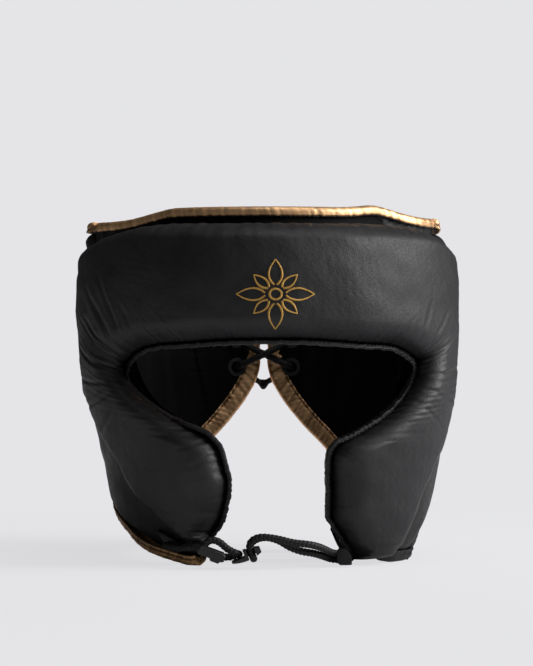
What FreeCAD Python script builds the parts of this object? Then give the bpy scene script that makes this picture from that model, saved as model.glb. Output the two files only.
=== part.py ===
"""Boxing headgear with a one-piece padded front, laced back wings and a cord chin closure.

Millimetres, +Z up.  The face looks along -Y and the wearer's left is +X.  The origin is the
middle of the footprint, on the surface that the headgear stands on.

Every panel is cut from a wall: a barrel-shaped section swept round one plan oval.  A wall is
named by its depths, measured outwards from the face that touches the head, and its outline
comes from cutters extruded from front, side and back view sketches.
"""
import FreeCAD, Part

import math
import os

import Sketcher

V = FreeCAD.Vector
X, Y, Z = V(1, 0, 0), V(0, 1, 0), V(0, 0, 1)
QUARTER = math.pi / 2
REACH = 200.0  # how far cutters run past the object

doc = FreeCAD.newDocument("boxing_headgear")
sheet = doc.addObject("Spreadsheet::Sheet", "Dimensions")

DIMENSIONS = [
    # plan oval of the face that touches the head, and its upright barrel arc
    ("inner_half_width", 90.0, "centre to the side wall"),
    ("inner_front", 96.0, "oval middle to the forehead"),
    ("inner_back", 86.0, "oval middle to the back"),
    ("oval_middle", 8.0, "Y of the widest place"),
    ("front_radius", 78.0, "plan radius at the forehead"),
    ("back_radius", 100.0, "plan radius at the back"),
    ("barrel_radius", 370.0, "upright arc of the inner face"),
    ("widest_height", 152.0, "Z of the widest place"),
    # depths of the walls
    ("base_depth", 4.0, "front base panel"),
    ("pad_depth", 32.0, "outside of the front pad"),
    ("panel_inner", 15.0, "inside of the side panels and wings"),
    ("panel_outer", 26.0, "outside of the side panels and wings"),
    ("leather", 1.6, "lining and cover leather"),
    ("pad_leather", 2.0, "leather of the front pad"),
    ("slack", 0.3, "clearance between layers and panels"),
    ("liner_inner", 2.0, "inside of the ear liner"),
    # heights
    ("front_top", 217.3, "base panel above the forehead"),
    ("temple_top", 207.5, "lowest place of the top edge"),
    ("side_top", 210.8, "top edge at the sides and back"),
    ("pad_top", 208.0, "top of the front pad"),
    ("pad_roll", 14.0, "rounding of the pad's top edge"),
    ("eye_top", 135.2, "middle of the brow edge"),
    ("flap_height", 1.3, "lower edge of the jaw flaps"),
    # bindings
    ("binding_leather", 1.2, "thickness of the bound edges"),
    ("binding_width", 6.0, "how far a binding covers a panel"),
    ("lacing_width", 8.2, "how far the wing binding covers the wing"),
    # back
    ("seam_y", 45.0, "seam between side panel and wing"),
    ("lacing_gap", 3.7, "centre to a wing's leather edge"),
    ("lace_column", 20.2, "centre to a column of eyelets"),
    ("lace_first", 118.0, "height of the lowest eyelets"),
    ("lace_pitch", 19.6, "height from eyelet to eyelet"),
    ("lace_rows", 5.0, "eyelets in a column"),
    ("eyelet_bore", 3.8, "radius of an eyelet's bore"),
    ("eyelet_wall", 0.7, "wall of an eyelet"),
    ("eyelet_flange", 6.2, "radius of an eyelet's flange"),
    ("eyelet_lip", 0.8, "thickness of an eyelet's flange"),
    ("eyelet_seat", 0.25, "gap under the inner flange on the hollow side of the wing"),
    ("lace_stand_off", 1.0, "clearance between the lace and what it lies on"),
    ("lace_radius", 2.25, "radius of the lace"),
    # chin closure
    ("chin_cord_radius", 2.25, "radius of the loop and the doubled chin cord"),
    ("strap_cord_radius", 2.1, "radius of the cord from the right flap"),
    ("closure_y", -93.5, "middle of the closure"),
    ("closure_width", 14.4, "adjuster and hook from front to back"),
    ("strand_offset", 3.8, "a strand's distance from the middle of the closure"),
    ("adjuster_length", 17.0, "strap adjuster"),
    ("adjuster_thickness", 5.5, "strap adjuster"),
    ("adjuster_pitch", 20.0, "degrees, inner end down"),
    ("hook_length", 18.8, "clasp hook"),
    ("hook_thickness", 6.4, "clasp hook"),
    ("hook_pitch", 22.0, "degrees, outer end up"),
    # ear
    ("ear_y", 12.0, "ear hole"),
    ("ear_z", 128.0, "ear hole"),
    ("ear_radius", 18.0, "ear hole"),
    ("ear_ring_width", 11.0, "padded ring round the ear hole"),
    ("ear_ring_height", 5.0, "how far the ear ring stands out"),
]
for row, (alias, value, note) in enumerate(DIMENSIONS, start=1):
    sheet.set(f"A{row}", alias)
    sheet.set(f"B{row}", str(value))
    sheet.set(f"C{row}", note)
    sheet.setAlias(f"B{row}", alias)
doc.recompute()


def size(alias):
    """Value of one named dimension."""
    return float(sheet.get(alias))


# --------------------------------------------------------------------------- sketches
FRONT_VIEW = FreeCAD.Placement(V(), FreeCAD.Rotation(X, 90))            # sketch is X, Z
SIDE_VIEW = FreeCAD.Placement(V(), FreeCAD.Rotation(V(1, 1, 1), 120))   # sketch is Y, Z


def arc(centre_x, centre_y, radius, start, end):
    circle = Part.Circle(V(centre_x, centre_y, 0), Z, radius)
    return Part.ArcOfCircle(circle, start, end)


def bind(sketch, constraint, expression):
    """Add a constraint whose value follows an expression of the sheet."""
    index = sketch.addConstraint(constraint)
    sketch.setExpression(f"Constraints[{index}]", expression)


def side_arc(length, tip_radius):
    """Radius of the side arc and half angle of the tip arc of a four-centre oval."""
    width = size("inner_half_width")
    radius = (width ** 2 + (length - tip_radius) ** 2 - tip_radius ** 2) / (2 * (width - tip_radius))
    return radius, math.atan2(abs(radius - width), abs(length - tip_radius))


def plan_oval():
    """Closed sketch of seven tangent arcs that starts at the middle of the forehead."""
    width, middle = size("inner_half_width"), size("oval_middle")
    front, back = size("inner_front"), size("inner_back")
    front_radius, back_radius = size("front_radius"), size("back_radius")
    side_front, front_half = side_arc(front, front_radius)
    side_back, back_half = side_arc(back, back_radius)
    front_centre = middle - front + front_radius
    back_centre = middle + back - back_radius
    sketch = doc.addObject("Sketcher::SketchObject", "plan_oval")
    sketch.addGeometry([
        arc(0, front_centre, front_radius, -QUARTER, -QUARTER + front_half),
        arc(width - side_front, middle, side_front, -QUARTER + front_half, 0),
        arc(width - side_back, middle, side_back, 0, QUARTER - back_half),
        arc(0, back_centre, back_radius, QUARTER - back_half, QUARTER + back_half),
        arc(side_back - width, middle, side_back, QUARTER + back_half, math.pi),
        arc(side_front - width, middle, side_front, math.pi, 3 * QUARTER - front_half),
        arc(0, front_centre, front_radius, 3 * QUARTER - front_half, 3 * QUARTER),
    ])
    for index in range(6):
        sketch.addConstraint(Sketcher.Constraint("Tangent", index, 2, index + 1, 1))
    sketch.addConstraint(Sketcher.Constraint("Coincident", 6, 2, 0, 1))
    sketch.addConstraint(Sketcher.Constraint("Coincident", 6, 3, 0, 3))
    sketch.addConstraint(Sketcher.Constraint("PointOnObject", 0, 1, -2))
    for index in (0, 3):
        sketch.addConstraint(Sketcher.Constraint("PointOnObject", index, 3, -2))
    bind(sketch, Sketcher.Constraint("Radius", 0, front_radius), "Dimensions.front_radius")
    bind(sketch, Sketcher.Constraint("Radius", 3, back_radius), "Dimensions.back_radius")
    bind(sketch, Sketcher.Constraint("DistanceY", -1, 1, 0, 3, front_centre),
         "Dimensions.oval_middle - Dimensions.inner_front + Dimensions.front_radius")
    bind(sketch, Sketcher.Constraint("DistanceY", -1, 1, 3, 3, back_centre),
         "Dimensions.oval_middle + Dimensions.inner_back - Dimensions.back_radius")
    for index in (1, 2, 4, 5):
        bind(sketch, Sketcher.Constraint("DistanceY", -1, 1, index, 3, middle), "Dimensions.oval_middle")
    bind(sketch, Sketcher.Constraint("DistanceX", -1, 1, 1, 2, width), "Dimensions.inner_half_width")
    bind(sketch, Sketcher.Constraint("DistanceX", 4, 2, -1, 1, width), "Dimensions.inner_half_width")
    return sketch


OVAL = plan_oval()
doc.recompute()
OVAL_EDGES = [f"Edge{index}" for index in range(1, 8)]


def wall_section(name, inner, outer, low, high):
    """Closed side-view sketch between two concentric barrel arcs and two level lines."""
    base = size("barrel_radius")
    centre_y = size("oval_middle") - size("inner_front") + base
    centre_z = size("widest_height")
    sketch = doc.addObject("Sketcher::SketchObject", name)
    sketch.Placement = SIDE_VIEW

    def angle(radius, height):
        return math.pi - math.asin((height - centre_z) / radius)

    def point(radius, height):
        turn = angle(radius, height)
        return V(centre_y + radius * math.cos(turn), centre_z + radius * math.sin(turn), 0)

    radii = (base + inner, base + outer)
    sketch.addGeometry([
        arc(centre_y, centre_z, radii[0], angle(radii[0], high), angle(radii[0], low)),
        arc(centre_y, centre_z, radii[1], angle(radii[1], high), angle(radii[1], low)),
        Part.LineSegment(point(radii[0], high), point(radii[1], high)),
        Part.LineSegment(point(radii[0], low), point(radii[1], low)),
    ])
    for ends in ((0, 3, 1, 3), (0, 1, 2, 1), (1, 1, 2, 2), (0, 2, 3, 1), (1, 2, 3, 2)):
        sketch.addConstraint(Sketcher.Constraint("Coincident", *ends))
    sketch.addConstraint(Sketcher.Constraint("Horizontal", 2))
    sketch.addConstraint(Sketcher.Constraint("Horizontal", 3))
    bind(sketch, Sketcher.Constraint("Radius", 0, radii[0]), f"Dimensions.barrel_radius + {inner}")
    bind(sketch, Sketcher.Constraint("Radius", 1, radii[1]), f"Dimensions.barrel_radius + {outer}")
    bind(sketch, Sketcher.Constraint("DistanceX", -1, 1, 0, 3, centre_y),
         "Dimensions.oval_middle - Dimensions.inner_front + Dimensions.barrel_radius")
    bind(sketch, Sketcher.Constraint("DistanceY", -1, 1, 0, 3, centre_z), "Dimensions.widest_height")
    bind(sketch, Sketcher.Constraint("DistanceY", -1, 1, 2, 1, high), f"{high}")
    bind(sketch, Sketcher.Constraint("DistanceY", -1, 1, 3, 1, low), f"{low}")
    return sketch


def wall(name, inner, outer, low=-10.0, high=225.0):
    """Wall between two depths, swept round the plan oval."""
    result = doc.addObject("Part::Sweep", name)
    result.Sections = [wall_section(name + "_section", inner, outer, low, high)]
    result.Spine = (OVAL, OVAL_EDGES)
    result.Solid = True
    return result


def curve_sketch(name, placement, curve_points, closing_points=()):
    """Closed sketch: a smooth curve through points, closed by straight lines."""
    sketch = doc.addObject("Sketcher::SketchObject", name)
    sketch.Placement = placement
    curve = Part.BSplineCurve()
    curve.interpolate([V(a, b, 0) for a, b in curve_points])
    sketch.addGeometry(curve)
    corners = [curve_points[-1], *closing_points, curve_points[0]]
    for start, end in zip(corners, corners[1:]):
        sketch.addGeometry(Part.LineSegment(V(*start, 0), V(*end, 0)))
    count = len(corners)
    for index in range(count):
        sketch.addConstraint(Sketcher.Constraint("Coincident", index, 2, (index + 1) % count, 1))
    return sketch


def extrusion(name, sketch, direction, forward, backward=0.0):
    result = doc.addObject("Part::Extrusion", name)
    result.Base = sketch
    result.DirMode = "Custom"
    result.Dir = direction
    result.LengthFwd = forward
    result.LengthRev = backward
    result.Solid = True
    return result


def cut(name, base, tool):
    result = doc.addObject("Part::Cut", name)
    result.Base, result.Tool = base, tool
    return result


def common(name, base, tool):
    result = doc.addObject("Part::Common", name)
    result.Base, result.Tool = base, tool
    return result


def box(name, low, high):
    """Box between two corners; each corner is three numbers or sheet expressions."""
    result = doc.addObject("Part::Box", name)
    for axis, start, end, length in zip("xyz", low, high, ("Length", "Width", "Height")):
        result.setExpression(f"Placement.Base.{axis}", str(start))
        result.setExpression(length, f"({end}) - ({start})")
    return result


def offset_curve(points, distance):
    """Move each point of an open curve to its left by a distance."""
    moved = []
    for index, (a, b) in enumerate(points):
        before = points[max(index - 1, 0)]
        after = points[min(index + 1, len(points) - 1)]
        run_a, run_b = after[0] - before[0], after[1] - before[1]
        length = math.hypot(run_a, run_b)
        moved.append((a - distance * run_b / length, b + distance * run_a / length))
    return moved


# --------------------------------------------------------------------------- outlines
def face_cutter(inset=0.0):
    """Eye opening and mouth gap; the leather's edge is moved back by the inset."""
    brow = size("eye_top")
    right_cheek = [(-49.6, 13.5), (-40.7, 15.2), (-34.7, 18.8), (-28.8, 27.7), (-25.9, 39.5),
                   (-24.6, 51.4), (-26.4, 60.2), (-30.6, 74.0), (-39.5, 82.8), (-49.7, 87.0),
                   (-68.0, 94.4), (-84.5, 106.0)]
    eyes = [(-88.5, brow - 15.9), (-73.5, brow - 4.2), (0.0, brow), (64.5, brow - 3.4),
            (77.0, brow - 4.7), (88.7, brow - 14.7)]
    left_cheek = [(86.5, 114.5), (80.8, 104.3), (68.0, 92.7), (46.1, 80.3), (38.1, 77.0),
                  (32.7, 69.2), (32.1, 57.0), (32.7, 42.3), (32.7, 30.4), (35.7, 24.5),
                  (41.7, 15.6), (46.0, 10.8), (49.0, 6.4)]
    points = offset_curve(right_cheek + eyes + left_cheek, inset)
    closing = [(points[-1][0] + 1.0, -30.0), (points[0][0] - 1.0, -30.0)]
    tag = f"face_{round(inset * 10)}"
    sketch = curve_sketch(tag + "_outline", FRONT_VIEW, points, closing)
    return extrusion(tag + "_cutter", sketch, -Y, REACH)


PAD_REAR = {
    # side-view curve of the front pad's rear and lower boundary, from the top down
    "right": [(-14.3, 225.0), (-14.5, 195.0), (-16.0, 158.0), (-26.0, 113.0), (-40.7, 66.0),
              (-53.6, 42.6), (-69.0, 24.4), (-82.0, 14.7), (-100.0, 9.0), (-135.0, 6.0)],
    "left": [(-14.3, 225.0), (-14.5, 195.0), (-16.0, 158.0), (-26.0, 113.0), (-41.0, 64.0),
             (-47.0, 40.0), (-50.5, 18.0), (-59.0, 6.5), (-72.0, 4.0), (-135.0, 3.5)],
}
OUTWARD = {"right": -X, "left": X}


def behind_pad(side, inset=0.0):
    """Everything behind the front pad's boundary, on one side of the head."""
    points = offset_curve(PAD_REAR[side], -inset)
    closing = [(points[-1][0], -60.0), (REACH, -60.0), (REACH, points[0][1])]
    tag = f"pad_rear_{side}_{round(inset * 10)}"
    sketch = curve_sketch(tag + "_outline", SIDE_VIEW, points, closing)
    return extrusion(tag + "_cutter", sketch, OUTWARD[side], REACH)


def top_curve(rise=0.0):
    """Top edge in side view: high over the forehead, with a dip at each temple."""
    front, temple, side = size("front_top"), size("temple_top"), size("side_top")
    points = [(-130.0, front), (-95.0, front), (-66.0, front), (-50.0, front - 4.0),
              (-35.0, temple + 0.4), (-20.0, temple + 1.2), (8.0, side), (60.0, side), (130.0, side)]
    return [(along, height + rise) for along, height in points]


def above_top(rise=0.0):
    points = top_curve(rise)
    closing = [(130.0, 260.0), (-130.0, 260.0)]
    tag = f"above_top_{round(rise * 10)}"
    sketch = curve_sketch(tag + "_outline", SIDE_VIEW, points, closing)
    return extrusion(tag + "_cutter", sketch, X, REACH, REACH)


JAW_EDGE = {
    # side-view curve of a jaw flap's lower edge, as heights above the flap height
    "right": [(-130.0, 0.0), (-90.0, 0.0), (-77.0, 0.0), (-59.0, 3.0), (-40.0, 9.5), (-20.0, 17.5),
              (0.0, 24.5), (22.0, 30.0), (45.0, 33.0), (80.0, 40.0)],
    "left": [(-130.0, 0.0), (-90.0, 0.0), (-60.0, 0.0), (-38.0, 0.5), (-22.0, 6.0), (-8.0, 15.0),
             (5.0, 23.0), (22.0, 30.0), (45.0, 33.0), (80.0, 40.0)],
}


def below_jaw(side, rise=0.0):
    """Everything below a jaw flap's lower edge, on one side of the head."""
    flat = size("flap_height")
    points = offset_curve([(along, flat + height) for along, height in JAW_EDGE[side]], rise)
    closing = [(90.0, -60.0), (-140.0, -60.0)]
    tag = f"below_jaw_{side}_{round(rise * 10)}"
    sketch = curve_sketch(tag + "_outline", SIDE_VIEW, points, closing)
    return extrusion(tag + "_cutter", sketch, OUTWARD[side], REACH)


def wing_region(side, spread=0.0):
    """Back-view region of one wing, spread outwards past its three free edges."""
    sign = OUTWARD[side].x
    flat = size("flap_height")
    nape = [(size("lacing_gap"), 107.0), (13.0, 99.0), (42.0, 68.0), (68.0, flat + 44.5),
            (90.0, flat + 32.5), (112.0, flat + 26.0), (140.0, flat + 22.0)]
    nape = offset_curve(nape, -spread)
    nape[0] = (size("lacing_gap") - spread, 107.0 - spread)
    high = size("side_top") + spread
    closing = [(140.0, high), (size("lacing_gap") - spread, high)]
    tag = f"wing_{side}_{round(spread * 10)}"
    mirrored = [(sign * across, height) for across, height in nape]
    mirrored_closing = [(sign * across, height) for across, height in closing]
    sketch = curve_sketch(tag + "_outline", FRONT_VIEW, mirrored, mirrored_closing)
    return extrusion(tag + "_region", sketch, Y, REACH)


pieces = []


def keep(name, shape_object):
    """Register a finished sub-part under its own label."""
    shape_object.Label = name
    pieces.append(shape_object)
    return shape_object


def edges_where(shape_object, test):
    """Numbers of the edges that pass a test."""
    return [index for index, edge in enumerate(shape_object.Shape.Edges, start=1) if test(edge)]


def rolled(name, base, height, radius, distance):
    """Round the outer top edge of a wall."""
    doc.recompute()

    def is_outer_rim(edge):
        flat = edge.BoundBox.ZMax - edge.BoundBox.ZMin < 0.01 and abs(edge.BoundBox.ZMax - height) < 0.01
        start = edge.valueAt(edge.FirstParameter)
        end = edge.valueAt(edge.LastParameter)
        return flat and min(abs(wall_depth(start) - distance), abs(wall_depth(end) - distance)) < 0.05 \
            and abs(wall_depth(start) - wall_depth(end)) < 0.05

    result = doc.addObject("Part::Fillet", name)
    result.Base = base
    result.Edges = [(index, radius, radius) for index in edges_where(base, is_outer_rim)]
    return result


def plan_frame(point):
    """Plan distance of a point outside the head oval, at the height where it is widest."""
    width, middle = size("inner_half_width"), size("oval_middle")
    across, along = abs(point.x), point.y - middle
    length, tip = ((size("inner_front"), size("front_radius")) if along < 0
                   else (size("inner_back"), size("back_radius")))
    radius, half = side_arc(length, tip)
    along = abs(along)
    tip_turn = math.atan2(across, along - (length - tip))
    if tip_turn < half:
        return math.hypot(across, along - (length - tip)) - tip
    return math.hypot(across + radius - width, along) - radius


def wall_depth(point):
    """Depth of a point, measured outwards from the face that touches the head."""
    base = size("barrel_radius")
    return math.hypot(plan_frame(point) + base, point.z - size("widest_height")) - base


# --------------------------------------------------------------------------- front
def front_pad():
    """Base panel, leather cover with its foam in three parts, and the gold top binding."""
    slack, leather = size("slack"), size("pad_leather")
    base, depth, top, roll = size("base_depth"), size("pad_depth"), size("pad_top"), size("pad_roll")

    def padded(name, inner, outer, inset):
        shell = wall(name + "_wall", inner, outer, -10.0, top - inset)
        shell = rolled(name + "_rolled", shell, top - inset, roll - inset, outer)
        shell = cut(name + "_face", shell, face_cutter(inset))
        shell = cut(name + "_right", shell, behind_pad("right", inset))
        return cut(name + "_left", shell, behind_pad("left", inset))

    blank = padded("cover_blank", base + slack, depth, 0.0)
    hollow = padded("cover_hollow", base - leather, depth - leather, leather)
    cover = cut("front_cover_cut", blank, hollow)
    keep("front_cover", cover)
    foam = padded("foam_blank", base + slack, depth - leather - slack, leather + slack)
    split = 122.0
    brow = cut("forehead_foam_cut", foam, box("below_brow", (-REACH, -REACH, -60), (REACH, REACH, split)))
    keep("forehead_foam", brow)
    for side, low, high in (("right", -REACH, 0), ("left", 0, REACH)):
        half = common(f"cheek_foam_{side}_half", foam,
                      box(f"cheek_box_{side}", (low, -REACH, -60), (high, REACH, split - slack)))
        keep(f"cheek_foam_{side}", half)

    panel = wall("base_wall", 0.0, base)
    panel = cut("base_face", panel, face_cutter(0.0))
    panel = cut("base_right", panel, behind_pad("right", 0.0))
    panel = cut("base_left", panel, behind_pad("left", 0.0))
    panel = cut("base_top", panel, above_top(0.0))
    low_box = box("below_eyes", (-REACH, -REACH, -60), (REACH, REACH, split))
    keep("brow_lining", cut("brow_lining_cut", panel, low_box))
    for side, low, high in (("right", -REACH, 0), ("left", 0, REACH)):
        half = common(f"cheek_lining_{side}_half", panel,
                      box(f"cheek_lining_box_{side}", (low, -REACH, 26), (high, REACH, split - slack)))
        keep(f"cheek_lining_{side}", half)

    thick = size("binding_leather")
    band = wall("front_binding_wall", -thick, base + thick)
    band = cut("front_binding_top", band, above_top(thick))
    band = common("front_binding_band", band, above_top(-size("binding_width")))
    band = cut("front_binding_right", band, behind_pad("right", 0.0))
    band = cut("front_binding_left", band, behind_pad("left", 0.0))
    groove = cut("front_binding_groove", wall("front_binding_core", 0.0, base), above_top(0.0))
    band = cut("front_binding_groove_cut", band, groove)
    behind_roll = wall("front_binding_relief", base, depth, -10.0, top + slack)
    keep("top_binding_front", cut("top_binding_front_cut", band, behind_roll))


# --------------------------------------------------------------------------- sides and back
SIDES = ("right", "left")


def side_box(tag, side, low_y, high_y, low_z=-60.0, high_z=260.0):
    """Half-space box on one side of the head between two depths of the head and two heights."""
    low_x, high_x = (-REACH, 0.0) if side == "right" else (0.0, REACH)
    return box(f"{tag}_{side}_box", (low_x, low_y, low_z), (high_x, high_y, high_z))


def ear_cylinder(tag, side, radius):
    """Cylinder along X through the ear hole of one side."""
    result = doc.addObject("Part::Cylinder", f"{tag}_{side}")
    result.setExpression("Radius", radius)
    result.Height = REACH
    turn = FreeCAD.Rotation(Y, 90 if side == "left" else -90)
    result.Placement = FreeCAD.Placement(V(), turn)
    result.setExpression("Placement.Base.y", "Dimensions.ear_y")
    result.setExpression("Placement.Base.z", "Dimensions.ear_z")
    return result


FLAP_FRONT = {"right": "40", "left": "68"}  # how near the middle each jaw flap reaches


def jaw_front(side):
    """Box over the middle of the face that stops a jaw flap's front end."""
    reach = FLAP_FRONT[side]
    low, high = (f"-{reach}", "0") if side == "right" else ("0", reach)
    return box(f"jaw_front_{side}", (low, -REACH, -60), (high, 0, 100))


def side_layer(name, side, inner, outer, inset):
    """One layer of a side panel, held back from its free edges by an inset."""
    slack = size("slack")
    layer = wall(name + "_wall", inner, outer)
    layer = common(name + "_half", layer, side_box(name, side, -REACH, "Dimensions.seam_y"))
    layer = common(name + "_rear", layer, behind_pad(side, -slack))
    layer = cut(name + "_top", layer, above_top(-inset))
    layer = cut(name + "_low", layer, below_jaw(side, inset))
    layer = cut(name + "_front", layer, jaw_front(side))
    hole = ear_cylinder(name + "_ear", side, f"Dimensions.ear_radius + {inset}")
    return cut(name + "_cut", layer, hole)


def side_panel(side):
    """Leather, foam and lining of one side panel, its ear parts and its bound edges."""
    slack, leather = size("slack"), size("leather")
    inner, outer = size("panel_inner"), size("panel_outer")
    thick, cover_width = size("binding_leather"), size("binding_width")
    keep(f"side_panel_{side}", side_layer(f"side_outer_{side}", side, outer - leather, outer, 0.0))
    keep(f"side_foam_{side}", side_layer(f"side_core_{side}", side, inner + leather + slack,
                                         outer - leather - slack, cover_width + slack))
    keep(f"side_lining_{side}", side_layer(f"side_inner_{side}", side, inner, inner + leather, 0.0))

    band = wall(f"side_band_{side}_wall", inner - thick, outer + thick)
    band = common(f"side_band_{side}_half", band, side_box("side_band", side, -REACH, "Dimensions.seam_y"))
    band = common(f"side_band_{side}_rear", band, behind_pad(side, -slack))
    core = wall(f"side_core_wall_{side}", inner, outer)
    top = cut(f"side_top_{side}_up", band, above_top(thick))
    top = common(f"side_top_{side}_band", top, above_top(-cover_width))
    top_core = cut(f"side_top_{side}_core", core, above_top(0.0))
    keep(f"top_binding_{side}", cut(f"side_top_{side}_cut", top, top_core))
    low = cut(f"side_low_{side}_down", band, below_jaw(side, -thick))
    low = common(f"side_low_{side}_band", low, below_jaw(side, cover_width))
    low = cut(f"side_low_{side}_front", low, jaw_front(side))
    low_core = cut(f"side_low_{side}_core", core, below_jaw(side, 0.0))
    keep(f"lower_binding_{side}", cut(f"side_low_{side}_cut", low, low_core))

    ring = wall(f"ear_ring_wall_{side}", outer + slack, outer + size("ear_ring_height"))
    outside = ear_cylinder("ear_ring_outside", side, "Dimensions.ear_radius + Dimensions.ear_ring_width")
    ring = common(f"ear_ring_{side}_disc", ring, outside)
    inside = ear_cylinder("ear_ring_inside", side, "Dimensions.ear_radius")
    keep(f"ear_ring_{side}", cut(f"ear_ring_{side}_cut", ring, inside))

    liner = wall(f"ear_liner_wall_{side}", size("liner_inner"), inner - slack)
    liner = common(f"ear_liner_{side}_side", liner, side_box("ear_liner", side, -11.0, 40.0, 62.0, 196.0))
    hole = ear_cylinder("ear_liner_hole", side, "Dimensions.ear_radius + 2")
    keep(f"ear_liner_{side}", cut(f"ear_liner_{side}_cut", liner, hole))


def outer_point(side, height, depth):
    """Point and outward normal of the back wall on a column of eyelets."""
    base, centre_z = size("barrel_radius"), size("widest_height")
    across = size("lace_column") * OUTWARD[side].x
    lift = math.asin((height - centre_z) / (base + depth))
    back = size("back_radius") + depth - (base + depth) * (1 - math.cos(lift))
    turn = math.asin(across / back)
    centre_y = size("oval_middle") + size("inner_back") - size("back_radius")
    point = V(across, centre_y + back * math.cos(turn), height)
    normal = V(math.sin(turn) * math.cos(lift), math.cos(turn) * math.cos(lift), math.sin(lift))
    return point, normal


def lace_heights():
    return [size("lace_first") + row * size("lace_pitch") for row in range(round(size("lace_rows")))]


def eyelet_holes(tag, side, radius):
    """Cylinders through a wing, one for each eyelet."""
    holes = []
    for row, height in enumerate(lace_heights()):
        point, normal = outer_point(side, height, size("panel_outer"))
        hole = doc.addObject("Part::Cylinder", f"{tag}_{side}_{row}")
        hole.setExpression("Radius", radius)
        hole.Height = 2 * size("panel_outer")
        hole.Placement = FreeCAD.Placement(point - normal * size("panel_outer"), FreeCAD.Rotation(Z, normal))
        holes.append(hole)
    group = doc.addObject("Part::MultiFuse", f"{tag}_{side}_holes")
    group.Shapes = holes
    return group


def wing(side):
    """Leather, foam, lining, bound edges and eyelets of one laced wing."""
    slack, leather = size("slack"), size("leather")
    inner, outer = size("panel_inner"), size("panel_outer")
    thick, cover_width = size("binding_leather"), size("lacing_width")
    seam = "Dimensions.seam_y + Dimensions.slack"

    def layer(name, low, high, spread, hole_radius):
        shape = wall(name + "_wall", low, high)
        shape = common(name + "_region", shape, wing_region(side, spread))
        shape = common(name + "_back", shape, side_box(name, side, seam, REACH))
        return cut(name + "_cut", shape, eyelet_holes(name, side, hole_radius))

    bore = "Dimensions.eyelet_bore + Dimensions.eyelet_wall + Dimensions.slack"
    keep(f"wing_cover_{side}", layer(f"wing_outer_{side}", outer - leather, outer, 0.0, bore))
    keep(f"wing_foam_{side}", layer(f"wing_core_{side}", inner + leather + slack, outer - leather - slack,
                                    -cover_width - slack, bore))
    keep(f"wing_lining_{side}", layer(f"wing_inner_{side}", inner, inner + leather, 0.0, bore))

    band = wall(f"wing_band_{side}_wall", inner - thick, outer + thick)
    band = common(f"wing_band_{side}_region", band, wing_region(side, thick))
    band = common(f"wing_band_{side}_back", band, side_box("wing_band", side, seam, REACH))
    band = cut(f"wing_band_{side}_frame", band, wing_region(side, -cover_width))
    core = common(f"wing_core_region_{side}", wall(f"wing_core_wall_{side}", inner, outer), wing_region(side, 0.0))
    keep(f"wing_binding_{side}", cut(f"wing_binding_{side}_cut", band, core))


def eyelets(side):
    """Five flanged eyelets of one wing as a group of turned solids."""
    bore, wall_width, flange = size("eyelet_bore"), size("eyelet_wall"), size("eyelet_flange")
    depth = size("panel_outer") - size("panel_inner")
    lip, hollow = size("eyelet_lip"), size("eyelet_seat")
    tube = Part.makeCylinder(bore + wall_width, depth + hollow + 2 * lip, V(0, 0, -depth - hollow - lip))
    flange_out = Part.makeCylinder(flange, lip, V(0, 0, 0))
    flange_in = Part.makeCylinder(flange, lip, V(0, 0, -depth - hollow - lip))
    drill = Part.makeCylinder(bore, depth + 6 * lip, V(0, 0, -depth - 3 * lip))
    eyelet = tube.fuse([flange_out, flange_in]).cut(drill)
    copies = []
    for height in lace_heights():
        point, normal = outer_point(side, height, size("panel_outer"))
        copy = eyelet.copy()
        copy.Placement = FreeCAD.Placement(point, FreeCAD.Rotation(Z, normal))
        copies.append(copy)
    group = doc.addObject("Part::Feature", f"lace_eyelets_{side}_group")
    group.Shape = Part.makeCompound(copies)
    keep(f"lace_eyelets_{side}", group)


# --------------------------------------------------------------------------- cords
def cord_path(points):
    """Wire of straight runs joined by tangent arcs, and the radius of every arc."""
    points = [V(*point) for point in points]
    edges, radii = [], []
    start = points[0]
    for before, corner, after in zip(points, points[1:], points[2:]):
        run_in, run_out = corner - before, after - corner
        turn = run_in.getAngle(run_out)
        reach = 0.45 * min(run_in.Length, run_out.Length)
        along_in, along_out = run_in.normalize(), run_out.normalize()
        enter, leave = corner - along_in * reach, corner + along_out * reach
        radius = reach / math.tan(turn / 2)
        inward = (along_out - along_in).normalize()
        centre = corner + inward * math.hypot(reach, radius)
        middle = centre - inward * radius
        edges.append(Part.LineSegment(start, enter).toShape())
        edges.append(Part.Arc(enter, middle, leave).toShape())
        radii.append(radius)
        start = leave
    edges.append(Part.LineSegment(start, points[-1]).toShape())
    return Part.Wire(edges), radii


def cord(name, points, radius):
    """Round cord along a route; reports its length and its arcs."""
    path, radii = cord_path(points)
    first = V(*points[1]) - V(*points[0])
    profile = Part.Wire([Part.makeCircle(radius, V(*points[0]), first)])
    tube = path.makePipeShell([profile], True, False)
    expected = math.pi * radius ** 2 * path.Length
    print(f"{name}: length {path.Length:.1f}, volume {tube.Volume / expected:.3f} of section by length, radii",
          " ".join(f"{value:.1f}" for value in radii))
    feature = doc.addObject("Part::Feature", f"{name}_tube")
    feature.Shape = tube
    return keep(name, feature)


def back_point(across, height, depth):
    """Point of the back wall at a depth, for the lace."""
    base, centre_z = size("barrel_radius"), size("widest_height")
    lift = math.asin((height - centre_z) / (base + depth))
    back = size("back_radius") + depth - (base + depth) * (1 - math.cos(lift))
    centre_y = size("oval_middle") + size("inner_back") - size("back_radius")
    return across, centre_y + math.sqrt(back ** 2 - across ** 2), height


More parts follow.
